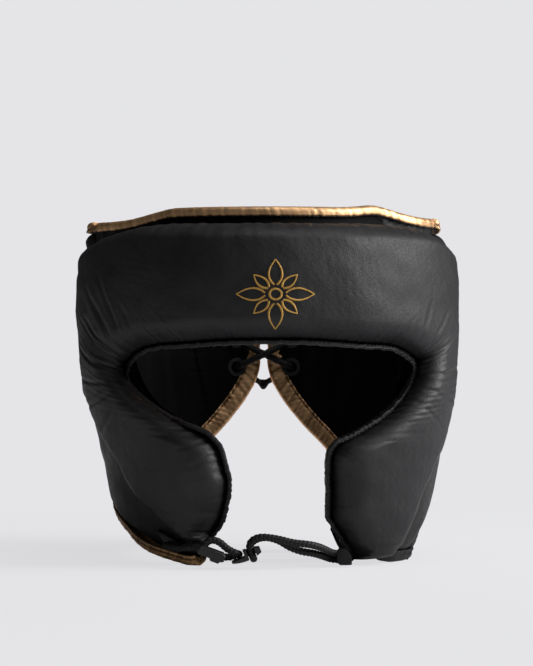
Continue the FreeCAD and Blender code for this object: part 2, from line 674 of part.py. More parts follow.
def lace_route():
    """One lace: out of the knot, crossing inside and climbing outside, over the top row and back."""
    column, heights = size("lace_column"), lace_heights()
    radius, clear = size("lace_radius"), size("lace_stand_off")
    inside = size("panel_inner") - max(size("eyelet_lip") + size("eyelet_seat"), size("binding_leather")) - radius - clear
    outside = size("panel_outer") + size("eyelet_lip") + radius + clear
    deeper = inside - 2 * radius - size("slack")

    def cross(sign, low, high, middle_depth):
        """Three points of a strand that crosses from one column to the other."""
        rise = high - low
        return [back_point(sign * column / 2, low + rise / 4, (inside + middle_depth) / 2),
                back_point(0.0, low + rise / 2, middle_depth),
                back_point(-sign * column / 2, low + rise * 3 / 4, (inside + middle_depth) / 2)]

    def hole(sign, row, outwards):
        point, normal = outer_point("left" if sign > 0 else "right", heights[row], size("panel_outer"))
        ends = [tuple(point + normal * (depth - size("panel_outer"))) for depth in (inside, outside)]
        return ends if outwards else ends[::-1]

    def climb(sign, low_row, high_row):
        middle = (heights[low_row] + heights[high_row]) / 2
        return [back_point(sign * column, middle, outside + 1.0)]

    route = [KNOT_LEFT, (11.5, KNOT_LEFT[1] - 1.2, 110.6)]
    route += hole(1, 0, False) + cross(1, heights[0], heights[1], inside)
    route += hole(-1, 1, True) + climb(-1, 1, 2) + hole(-1, 2, False)
    route += cross(-1, heights[2], heights[3], inside)
    route += hole(1, 3, True) + climb(1, 3, 4) + hole(1, 4, False)
    route += cross(1, heights[4], heights[4], inside - 1.5)
    route += hole(-1, 4, True) + climb(-1, 4, 3) + hole(-1, 3, False)
    route += cross(-1, heights[3], heights[2], deeper)
    route += hole(1, 2, True) + climb(1, 2, 1) + hole(1, 1, False)
    route += cross(1, heights[1], heights[0], deeper)
    route += hole(-1, 0, True)
    return route + [(-11.5, KNOT_RIGHT[1] - 1.2, 110.6), KNOT_RIGHT]


KNOT_LEFT = (6.6, 123.2, 108.6)
KNOT_RIGHT = (-6.6, 123.2, 108.6)


def lacing():
    """The back lace and its knot."""
    cord("back_lace", lace_route(), size("lace_radius"))
    knot = doc.addObject("Part::Ellipsoid", "lace_knot_ball")
    knot.Radius1, knot.Radius2, knot.Radius3 = 3.6, 6.3, 4.4
    knot.Placement = FreeCAD.Placement(V(0, KNOT_LEFT[1], KNOT_LEFT[2] - 0.4), FreeCAD.Rotation(X, 90))
    keep("lace_knot", knot)


# --------------------------------------------------------------------------- chin closure
def body_plane(body, role):
    return next(feature for feature in body.Origin.OriginFeatures if feature.Role == role)


def body_sketch(body, name, role, geometry, offset=0.0):
    """Closed sketch on one of a body's own origin planes, moved along the plane's normal."""
    sketch = body.newObject("Sketcher::SketchObject", name)
    sketch.AttachmentSupport = [(body_plane(body, role), "")]
    sketch.MapMode = "FlatFace"
    sketch.AttachmentOffset = FreeCAD.Placement(V(0, 0, offset), FreeCAD.Rotation())
    sketch.addGeometry(geometry)
    return sketch


def bore_sketch(body, name, role, across, along, radius, offset=0.0):
    """Circle on an origin plane; its place and radius are sheet expressions."""
    sketch = body_sketch(body, name, role, Part.Circle(V(0, 0, 0), Z, 1.0), offset)
    bind(sketch, Sketcher.Constraint("Radius", 0, 1.0), radius)
    sketch.addConstraint(Sketcher.Constraint("DistanceX", -1, 1, 0, 3, 0.0))
    sketch.setExpression("Constraints[1]", across)
    sketch.addConstraint(Sketcher.Constraint("DistanceY", -1, 1, 0, 3, 0.0))
    sketch.setExpression("Constraints[2]", along)
    return sketch


def loop_lines(corners):
    return [Part.LineSegment(V(*start, 0), V(*end, 0)) for start, end in zip(corners, corners[1:] + corners[:1])]


def rectangle(low_a, low_b, high_a, high_b):
    return loop_lines([(low_a, low_b), (high_a, low_b), (high_a, high_b), (low_a, high_b)])


def pad(body, sketch, length, midplane=False, reversed_side=False):
    feature = body.newObject("PartDesign::Pad", sketch.Name + "_pad")
    feature.Profile = sketch
    feature.setExpression("Length", length)
    feature.SideType = "Symmetric" if midplane else "One side"
    feature.Reversed = reversed_side
    doc.recompute()
    return feature


def pocket(body, sketch, length, reversed_side=False, midplane=False):
    """Pocket that is checked to remove material."""
    doc.recompute()
    before = body.Shape.Volume
    feature = body.newObject("PartDesign::Pocket", sketch.Name + "_pocket")
    feature.Profile = sketch
    feature.setExpression("Length", length)
    feature.Reversed = reversed_side
    feature.SideType = "Symmetric" if midplane else "One side"
    doc.recompute()
    if not body.Shape.Volume < before - 0.01:
        raise RuntimeError(f"{feature.Name} cuts nothing")
    return feature


def round_edges(body, radius, test):
    base = body.Tip
    names = [f"Edge{index}" for index, edge in enumerate(base.Shape.Edges, start=1) if test(edge)]
    feature = body.newObject("PartDesign::Fillet", base.Name + "_round")
    feature.Base = (base, names)
    feature.Radius = radius
    doc.recompute()
    return feature


def on_sides(edge):
    """True for the rim edges of a slab that is padded evenly to both sides of its middle."""
    return abs(abs(edge.CenterOfMass.y) - size("closure_width") / 2) < 0.01


def strap_adjuster():
    """Moulded slab with a foot; the strap cord enters one end and the loop's two ends are held."""
    half, thick = size("adjuster_length") / 2, size("adjuster_thickness") / 2
    foot = 1.4
    body = doc.addObject("PartDesign::Body", "strap_adjuster_body")
    outline = [(-half, -1.7), (-half, 1.5), (-half + 1.3, thick), (half - 1.5, thick), (half, 1.4), (half, -1.9),
               (half - 1.3, -thick), (half - 2.0, -thick), (half - 3.0, -thick - foot), (0.6, -thick - foot),
               (-0.4, -thick), (-half + 1.3, -thick)]
    pad(body, body_sketch(body, "adjuster_outline", "XZ_Plane", loop_lines(outline)),
        "Dimensions.closure_width", midplane=True)
    round_edges(body, 0.8, on_sides)
    bore = "Dimensions.chin_cord_radius + Dimensions.slack"
    pocket(body, bore_sketch(body, "strap_bore", "YZ_Plane", "3", "0", bore, -half), "2.8", reversed_side=True)
    pocket(body, bore_sketch(body, "loop_end_bore", "YZ_Plane", "Dimensions.strand_offset", "0", bore, half), "5")
    pocket(body, bore_sketch(body, "loop_start_bore", "XY_Plane", "-5.6", "-Dimensions.strand_offset", bore, thick),
           "Dimensions.adjuster_thickness - 0.8")
    body.Placement = FreeCAD.Placement(V(-37.0, size("closure_y"), 9.6), FreeCAD.Rotation(Y, size("adjuster_pitch")))
    return keep("strap_adjuster", body)


def clasp_hook():
    """Lens-shaped hook: a headed post for the loop at one end and a cord neck at the other."""
    half, thick = size("hook_length") / 2, size("hook_thickness") / 2
    tip = 1.4
    body = doc.addObject("PartDesign::Body", "clasp_hook_body")
    lens = [Part.Arc(V(-half, tip, 0), V(0, thick, 0), V(half, tip, 0)),
            Part.LineSegment(V(half, tip, 0), V(half, -tip, 0)),
            Part.Arc(V(half, -tip, 0), V(0, -thick, 0), V(-half, -tip, 0)),
            Part.LineSegment(V(-half, -tip, 0), V(-half, tip, 0))]
    pad(body, body_sketch(body, "hook_outline", "XZ_Plane", lens), "Dimensions.closure_width", midplane=True)
    floor, channel_end = -0.6, -0.9
    channel = rectangle(-half - 1, floor, channel_end, thick + 1)
    pocket(body, body_sketch(body, "hook_channel", "XZ_Plane", channel), "2 * Dimensions.closure_width", midplane=True)
    notch_low, notch_high, neck = 0.9, 6.1, 1.25
    wide = size("closure_width")
    for tag, low, high in (("front", -wide, -neck), ("rear", neck, wide)):
        sides = rectangle(notch_low, low, notch_high, high)
        pocket(body, body_sketch(body, f"neck_{tag}", "XY_Plane", sides, -2 * thick), "4 * Dimensions.hook_thickness",
               reversed_side=True)
    under = rectangle(notch_low, -2 * thick, notch_high, -1.3)
    pocket(body, body_sketch(body, "neck_under", "XZ_Plane", under), "2 * Dimensions.closure_width", midplane=True)
    post_at = "-7"
    pad(body, bore_sketch(body, "hook_post", "XY_Plane", post_at, "0", "0.9", floor), "5.1")
    pad(body, bore_sketch(body, "hook_post_head", "XY_Plane", post_at, "0", "1.2", 4.5), "1.2")
    body.Placement = FreeCAD.Placement(V(-16.3, size("closure_y"), 8.6), FreeCAD.Rotation(Y, -size("hook_pitch")))
    return keep("clasp_hook", body)


def chin_tab_right():
    """Leather tab that lies on the right jaw flap and carries the strap cord."""
    outside = size("panel_outer") + size("binding_leather") + size("slack")
    layer = wall("chin_tab_wall", outside, outside + 2.5)
    corners = [(-71.0, 21.5), (-60.5, 16.2), (-54.5, 12.8), (-53.5, 9.6), (-58.0, 7.4), (-65.0, 9.0)]
    sketch = doc.addObject("Sketcher::SketchObject", "chin_tab_outline")
    sketch.Placement = FRONT_VIEW
    sketch.addGeometry(loop_lines(corners))
    return keep("chin_tab_right", common("chin_tab_cut", layer, extrusion("chin_tab_prism", sketch, -Y, REACH)))


def chin_anchor_left():
    """Folded leather end that lies against the left cheek's inner edge and holds the doubled cord."""
    body = doc.addObject("PartDesign::Body", "chin_anchor_body")
    corners = [(40.7, 1.2), (48.2, 1.2), (48.2, 6.6), (45.0, 11.0), (40.7, 11.0)]
    sketch = body_sketch(body, "anchor_outline", "XZ_Plane", loop_lines(corners), 72.5)
    pad(body, sketch, "11.5")
    return keep("chin_anchor_left", body)


STRAP_CORD = [(-65.3, -69.9, 12.9), (-61.0, -74.4, 11.8), (-55.5, -80.0, 11.7), (-50.0, -86.3, 12.6), (-45.6, -90.5, 12.7),
              (-42.7, -90.5, 11.7)]
LOOP_CORD = [(-42.2, -97.3, 11.6), (-40.6, -97.3, 16.6), (-36.0, -97.3, 18.2), (-31.6, -97.3, 16.4),
             (-27.4, -97.3, 12.2), (-20.37, -97.3, 9.06), (-20.37, -89.7, 9.06), (-27.6, -89.7, 6.2),
             (-32.6, -89.7, 8.0)]
CHIN_CORD = [(40.4, -79.8, 8.2), (36.8, -79.8, 8.2), (32.8, -86.0, 10.6), (28.0, -91.4, 13.2), (21.5, -95.0, 15.0),
             (12.0, -96.3, 15.9), (4.0, -96.8, 18.2), (-4.4, -97.1, 19.6), (-10.9, -97.3, 18.2),
             (-14.74, -97.3, 14.08), (-11.61, -97.3, 6.34), (-11.61, -89.7, 6.34), (-14.74, -89.7, 14.08),
             (-11.0, -89.7, 18.3), (-4.6, -89.9, 19.2), (3.6, -90.6, 17.2), (10.2, -90.9, 12.8),
             (17.4, -90.4, 10.2), (24.6, -88.2, 9.1), (31.2, -81.8, 6.6), (36.4, -75.4, 4.2), (40.4, -75.4, 4.2)]


def chin_closure():
    chin_tab_right()
    chin_anchor_left()
    strap_adjuster()
    clasp_hook()
    cord("chin_strap_cord", STRAP_CORD, size("strap_cord_radius"))
    cord("chin_loop_cord", LOOP_CORD, size("chin_cord_radius"))
    cord("chin_cord", CHIN_CORD, size("chin_cord_radius"))


# --------------------------------------------------------------------------- assembly
def check_and_write():
    """Stop on any failed object or unsound sub-part, then write one STEP file for each."""
    doc.recompute()
    failed = [item.Name for item in doc.Objects if {"Invalid", "Error"} & set(item.State)]
    if failed:
        raise RuntimeError(f"objects failed: {failed}")
    for piece in pieces:
        if piece.Shape.isNull() or not piece.Shape.isValid():
            raise RuntimeError(f"{piece.Label} is not a sound solid")
    os.makedirs("parts", exist_ok=True)
    for piece in pieces:
        piece.Shape.exportStep(os.path.join("parts", piece.Label + ".step"))
        volumes = " ".join(f"{solid.Volume:.0f}" for solid in piece.Shape.Solids)
        print(f"{piece.Label}: {volumes} mm3")


front_pad()
for side in SIDES:
    side_panel(side)
    wing(side)
    eyelets(side)
lacing()
chin_closure()
check_and_write()
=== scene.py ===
"""Looks of a padded boxing headgear: leather pads, bound edges, laced wings and a cord chin closure."""
import logging
import math
from dataclasses import dataclass, field
from enum import Enum
from functools import lru_cache
from typing import Optional, Sequence, Union

import bmesh
import bpy
import numpy as np
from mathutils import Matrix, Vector
from mathutils.bvhtree import BVHTree


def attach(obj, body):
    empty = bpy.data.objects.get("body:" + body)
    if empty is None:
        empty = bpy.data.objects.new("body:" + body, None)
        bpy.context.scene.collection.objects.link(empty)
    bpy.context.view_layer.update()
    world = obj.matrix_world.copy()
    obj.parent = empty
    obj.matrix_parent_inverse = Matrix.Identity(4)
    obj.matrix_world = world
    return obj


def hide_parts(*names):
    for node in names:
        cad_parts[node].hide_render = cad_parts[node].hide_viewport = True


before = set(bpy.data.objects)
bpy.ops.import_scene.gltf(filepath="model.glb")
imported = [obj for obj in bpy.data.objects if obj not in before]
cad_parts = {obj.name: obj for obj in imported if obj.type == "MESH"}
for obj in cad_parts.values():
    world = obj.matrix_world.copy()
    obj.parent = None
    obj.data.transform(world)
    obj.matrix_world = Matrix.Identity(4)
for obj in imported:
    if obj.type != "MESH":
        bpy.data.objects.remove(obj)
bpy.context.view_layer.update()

Array = np.ndarray
Knots = tuple[tuple[float, ...], tuple[float, ...]]
MM = 0.001
LOG = logging.getLogger("headgear")


class Side(Enum):
    """The wearer's right is -X and left is +X."""

    RIGHT = -1
    LEFT = 1

    @property
    def word(self) -> str:
        """Name of the side in piece names."""
        return self.name.lower()


class View(Enum):
    """How a control place is given: X from the front or back, Y from one side, or a turn in degrees."""

    FRONT = "front"
    BACK = "back"
    RIGHT = "right"
    LEFT = "left"
    TURN = "turn"


SIDE_VIEW = {Side.RIGHT: View.RIGHT, Side.LEFT: View.LEFT}


# ------------------------------------------------------------------ arrays and meshes
def curve_through(places: Array, at: Array, closed: bool = False) -> Array:
    """Smooth curve through control places: cubics whose tangents are the chords of each place's neighbours.

    Args:
        places: control values, one row each.
        at: parameters, where 0 is the first row and n - 1 the last, or n where the curve is closed.
        closed: whether the last row joins the first.

    Returns:
        The curve's values, one row for each parameter.
    """
    count = len(places)
    last = count if closed else count - 1
    at = np.clip(at, 0.0, last - 1e-9)
    index = np.floor(at).astype(int)
    share = (at - index)[..., None]

    def row(shift: int) -> Array:
        number = index + shift
        return places[number % count] if closed else places[np.clip(number, 0, count - 1)]

    before, start, end, after = row(-1), row(0), row(1), row(2)
    slope_in, slope_out = (end - before) / 2, (after - start) / 2
    square, cube = share ** 2, share ** 3
    return ((2 * cube - 3 * square + 1) * start + (cube - 2 * square + share) * slope_in
            + (3 * square - 2 * cube) * end + (cube - square) * slope_out)


def smooth(low: float, high: float, value: Array) -> Array:
    """Rises from 0 at low to 1 at high as 3x^2 - 2x^3."""
    share = np.clip((value - low) / (high - low), 0.0, 1.0)
    return share * share * (3 - 2 * share)


def waves(places: Array, pitch: float, seed: int, count: int = 14) -> Array:
    """Soft random field: a sum of sine waves of nearly one pitch in random directions.

    Args:
        places: points, three numbers in the last axis, in millimetres.
        pitch: usual length of a wave.
        seed: fixes the directions and phases.
        count: number of waves.

    Returns:
        Values near -1 to 1, one for each point.
    """
    rng = np.random.default_rng(seed)
    ways = unit(rng.normal(size=(count, 3)))
    rates = 2 * math.pi / (pitch * rng.uniform(0.7, 1.45, count))
    phases = rng.uniform(0, 2 * math.pi, count)
    total = np.zeros(places.shape[:-1])
    for way, rate, phase in zip(ways, rates, phases):
        total += np.sin(places @ way * rate + phase)
    return total / math.sqrt(count)


def ripple(along: Array, pitch: float, seed: int, period: Optional[float] = None) -> Array:
    """Random wave along a line, sharpened so that its crests are narrow folds.

    Args:
        along: distance along the line, in millimetres.
        pitch: usual distance between folds.
        seed: fixes the phases.
        period: length after which the wave repeats, on a closed line.

    Returns:
        Values from about -1 to 1.
    """
    rng = np.random.default_rng(seed)
    total = np.zeros_like(along, dtype=float)
    for _ in range(6):
        rate = 1 / (pitch * rng.uniform(0.6, 1.6))
        if period:
            rate = max(1, round(period * rate)) / period
        total += np.sin(2 * math.pi * rate * along + rng.uniform(0, 2 * math.pi))
    total /= 2.2
    return np.sign(total) * np.abs(total) ** 0.8


def grid_quads(rows: int, columns: int, wrap_rows: bool, wrap_columns: bool) -> Array:
    """Corner numbers of the quads of a grid whose rows or columns may join up."""
    row = np.arange(rows if wrap_rows else rows - 1)[:, None]
    column = np.arange(columns if wrap_columns else columns - 1)[None, :]
    below, right = (row + 1) % rows, (column + 1) % columns
    corners = (row * columns + column, row * columns + right, below * columns + right,
               below * columns + column)
    return np.stack([np.broadcast_to(c, np.broadcast_shapes(row.shape, column.shape)) for c in corners],
                    -1).reshape(-1, 4)


def write_mesh(name: str, points: Array, quads: Array, fans: Sequence[Array] = (), uv: Optional[Array] = None,
               values: Optional[dict[str, Array]] = None, outwards: bool = True) -> bpy.types.Object:
    """Makes a mesh object from millimetre points.

    Args:
        name: piece name.
        points: vertex places, in millimetres.
        quads: four vertex numbers a row.
        fans: rings of vertex numbers, each closed with a fan about its middle.
        uv: two numbers for each vertex, in metres.
        values: named numbers for each vertex.
        outwards: whether to make the faces of the closed shell point outwards.

    Returns:
        The object, at the origin.
    """
    points = points.reshape(-1, 3)
    values = {key: np.asarray(value, float).ravel() for key, value in (values or {}).items()}
    triangles = []
    for ring in fans:
        middle = len(points)
        points = np.vstack([points, points[ring].mean(0)])
        values = {key: np.append(value, value[ring].mean()) for key, value in values.items()}
        if uv is not None:
            uv = np.vstack([uv, uv[ring].mean(0)])
        triangles.append(np.column_stack([ring, np.roll(ring, -1), np.full(len(ring), middle)]))
    mesh = bpy.data.meshes.new(name)
    mesh.vertices.add(len(points))
    mesh.vertices.foreach_set("co", (points * MM).astype(np.float32).ravel())
    corners = np.concatenate([quads.ravel()] + [t.ravel() for t in triangles]).astype(np.int32)
    three = sum(len(t) for t in triangles)
    starts = np.concatenate([np.arange(len(quads)) * 4,
                             len(quads) * 4 + np.arange(three) * 3]).astype(np.int32)
    mesh.loops.add(len(corners))
    mesh.loops.foreach_set("vertex_index", corners)
    mesh.polygons.add(len(starts))
    mesh.polygons.foreach_set("loop_start", starts)
    mesh.update(calc_edges=True)
    for key, value in values.items():
        mesh.attributes.new(key, "FLOAT", "POINT").data.foreach_set("value", value.astype(np.float32))
    if uv is not None:
        mesh.uv_layers.new(name="UVMap").uv.foreach_set("vector", uv[corners].astype(np.float32).ravel())
    if outwards:
        shell = bmesh.new()
        shell.from_mesh(mesh)
        bmesh.ops.recalc_face_normals(shell, faces=shell.faces)
        shell.to_mesh(mesh)
        shell.free()
    mesh.polygons.foreach_set("use_smooth", np.ones(len(mesh.polygons), bool))
    mesh.update()
    piece = bpy.data.objects.new(name, mesh)
    bpy.context.scene.collection.objects.link(piece)
    return piece


def grid_normals(points: Array, wrap_rows: bool, wrap_columns: bool) -> Array:
    """Unit normals of a grid: the cross product of the steps along its rows and columns."""
    def step(axis: int, wrap: bool) -> Array:
        if wrap:
            return np.roll(points, -1, axis) - np.roll(points, 1, axis)
        return np.gradient(points, axis=axis)

    normal = np.cross(step(0, wrap_rows), step(1, wrap_columns))
    length = np.linalg.norm(normal, axis=-1, keepdims=True)
    return normal / np.maximum(length, 1e-9)


def path_length(points: Array) -> Array:
    """Distance along a row of points, from 0 at the first."""
    return np.concatenate([[0.0], np.cumsum(np.linalg.norm(np.diff(points, axis=0), axis=1))])


def unit(vectors: Array) -> Array:
    """The same vectors at length 1."""
    return vectors / np.linalg.norm(vectors, axis=-1, keepdims=True)


def sample(at: Array, along: Array, values: Array) -> Array:
    """Three columns of values, read off at places along their line."""
    return np.column_stack([np.interp(at, along, values[:, axis]) for axis in range(3)])


def way_off(path: Array, face: Array) -> Array:
    """Unit vectors square to a path and to the normals along it."""
    return unit(np.cross(np.gradient(path, axis=0), face))


def end_rings(rows: int, columns: int) -> list[Array]:
    """Vertex numbers of the first and the last row of a grid."""
    first = np.arange(columns)
    return [first, first + (rows - 1) * columns]


def even_points(points: Array, pitch: float) -> Array:
    """The same line with points a pitch apart."""
    along = path_length(points)
    count = max(int(round(along[-1] / pitch)), 2)
    at = np.linspace(0, along[-1], count + 1)
    return sample(at, along, points)


def carried_frames(points: Array) -> tuple[Array, Array]:
    """Two cross directions along a path, turned as little as possible from point to point."""
    tangent = unit(np.gradient(points, axis=0))
    first = np.cross(tangent[0], (0.0, 0.0, 1.0))
    if np.linalg.norm(first) < 0.1:
        first = np.cross(tangent[0], (0.0, 1.0, 0.0))
    across = np.empty_like(points)
    across[0] = first / np.linalg.norm(first)
    for index in range(1, len(points)):
        moved = across[index - 1] - tangent[index] * (across[index - 1] @ tangent[index])
        across[index] = moved / np.linalg.norm(moved)
    return across, np.cross(tangent, across)


# ------------------------------------------------------------------ the head's form
@dataclass(frozen=True)
class HeadForm:
    """Barrel-shaped wall round a four-centre plan oval, in millimetres.

    A place on it is a turn, a height and a depth.  The turn is the angle of the wall's plan normal from
    straight ahead, positive to the wearer's left.  The depth is measured outwards from the face that
    touches the head.
    """

    half_width: float = 90.0
    front: float = 96.0
    back: float = 86.0
    middle: float = 8.0
    front_radius: float = 78.0
    back_radius: float = 100.0
    barrel: float = 370.0
    widest: float = 152.0
    left_flare: Knots = ((0, 9, 18, 30, 50, 75, 95), (10.6, 9.2, 7.0, 5.2, 3.2, 1.8, 0))
    right_flare: Knots = ((0, 8, 18, 30, 44, 60, 75, 92), (5.0, 4.2, 1.2, 1.6, 0, -2.6, -2.0, 0))
    rim_flare: tuple[float, float] = (-1.2, 4.6)
    rim_heights: tuple[float, float] = (192.0, 206.0)
    rim_front: tuple[float, float] = (1.1, 1.4)
    flare_front: tuple[float, float] = (0.62, 0.98)
    flare_back: tuple[float, float] = (1.45, 2.0)

    def side_arc(self, length: float, tip: float) -> tuple[float, float]:
        """Radius of the side arc, and half angle of the tip arc."""
        square = self.half_width ** 2 + (length - tip) ** 2 - tip ** 2
        radius = square / (2 * (self.half_width - tip))
        return radius, math.atan2(abs(radius - self.half_width), abs(length - tip))

    def swell(self, height: Array, depth: Array) -> Array:
        """How far outside the plan oval the wall stands: sqrt((barrel + depth)^2 - rise^2) - barrel."""
        return np.sqrt((self.barrel + depth) ** 2 - (height - self.widest) ** 2) - self.barrel

    def flare(self, turn: Array, height: Array) -> Array:
        """How far the soft jaw flaps stand out below the cheeks: height knots, faded in between two turns."""
        size = np.abs(turn)
        before_back = 1 - smooth(*self.flare_back, size)
        share = smooth(*self.flare_front, size) * before_back
        rim = smooth(*self.rim_heights, height) * smooth(*self.rim_front, size) * before_back
        jaw = np.where(turn > 0, np.interp(height, *self.left_flare), np.interp(height, *self.right_flare))
        return jaw * share + np.where(turn > 0, *self.rim_flare) * rim

    def point(self, turn: Array, height: Array, depth: Array) -> Array:
        """Place of a turn, height and depth: arc centre + (arc radius + swell) along the plan normal."""
        turn, height, depth = np.broadcast_arrays(*(np.asarray(v, float) for v in (turn, height, depth)))
        front_side, front_half = self.side_arc(self.front, self.front_radius)
        back_side, back_half = self.side_arc(self.back, self.back_radius)
        size, sign = np.abs(turn), np.sign(turn)
        where = [size < front_half, size < math.pi / 2, size < math.pi - back_half]
        radius = np.select(where, [self.front_radius, front_side, back_side], self.back_radius)
        centre_x = np.select(where, [0.0, self.half_width - front_side, self.half_width - back_side],
                             0.0) * sign
        front_y = self.middle - self.front + self.front_radius
        back_y = self.middle + self.back - self.back_radius
        centre_y = np.select(where, [front_y, self.middle, self.middle], back_y)
        reach = radius + self.swell(height, depth) + self.flare(turn, height)
        return np.stack([centre_x + reach * np.sin(turn), centre_y - reach * np.cos(turn), height], -1)

    def normal(self, turn: Array, height: Array, depth: Array) -> Array:
        """Outward normal of the wall, which leans by the barrel's arc."""
        turn, height, depth = np.broadcast_arrays(*(np.asarray(v, float) for v in (turn, height, depth)))
        rise = (height - self.widest) / (self.barrel + depth)
        level = np.sqrt(1 - rise ** 2)
        return np.stack([np.sin(turn) * level, -np.cos(turn) * level, rise], -1)

    def turn_for(self, view: View, place: float, height: float, depth: float) -> float:
        """Turn of a place seen in a view, found by halving an interval in which it rises."""
        if view is View.TURN:
            return math.radians(place)
        half = math.pi / 2
        ranges = {View.FRONT: (-half, half, 0), View.BACK: (math.pi, half, 0)}
        low, high, axis = ranges.get(view, (0.0, math.pi, 1))
        target = abs(place) if view is View.BACK else place
        for _ in range(40):
            middle = (low + high) / 2
            if self.point(middle, height, depth)[..., axis] < target:
                low = middle
            else:
                high = middle
        flip = math.copysign(1, place) if view is View.BACK else -1 if view is View.RIGHT else 1
        return (low + high) / 2 * flip


FORM = HeadForm()


@lru_cache(maxsize=None)
def control_track(places: tuple[tuple[View, float, float], ...], depth: float) -> Array:
    """Turns and heights of control places on the wall at one depth."""
    return np.array([(FORM.turn_for(view, place, height, depth), height) for view, place, height in places])


@dataclass(frozen=True)
class Edge:
    """Boundary curve of a panel through control places, each seen in some view."""

    places: tuple[tuple[View, float, float], ...]
    closed: bool = False

    def on_wall(self, at: Array, depth: Array) -> tuple[Array, Array]:
        """Turn and height of the boundary.

        The control places are found at three depths, the curve is drawn at each, and a parabola in depth
        joins the three.

        Args:
            at: curve parameter.
            depth: depth of the wall, of a shape that broadcasts with the parameter.

        Returns:
            Turns and heights.
        """
        depths = (0.0, 16.0, 32.0)
        tracks = [curve_through(control_track(self.places, level), at, self.closed) for level in depths]
        low, middle, high = (track[..., 0] for track in tracks)
        share = depth / depths[1]
        turn = (low * (share - 1) * (share - 2) / 2 - middle * share * (share - 2) + high * share
                * (share - 1) / 2)
        return turn, np.broadcast_to(tracks[0][..., 1], turn.shape)

    def line(self, at: Array, depth: float) -> Array:
        """Places of the boundary at one depth, in millimetres."""
        return FORM.point(*self.on_wall(at, np.full(at.shape, depth)), depth)


# ------------------------------------------------------------------ stuffed strips
@dataclass(frozen=True)
class Roll:
    """How a pad ends at one boundary: a sewn flange, then a rounded flank that may bulge over its foot."""

    radius: float
    flange: float = 0.0
    tuck: float = 30.0


@dataclass(frozen=True)
class Filling:
    """Depths of a stuffed strip, its crown between its edges, and how it rounds off at its two ends."""

    base: float
    top: float
    crown: float = 0.0
    end_round: float = 0.0
    end_flange: tuple[float, float] = (0.0, 0.0)


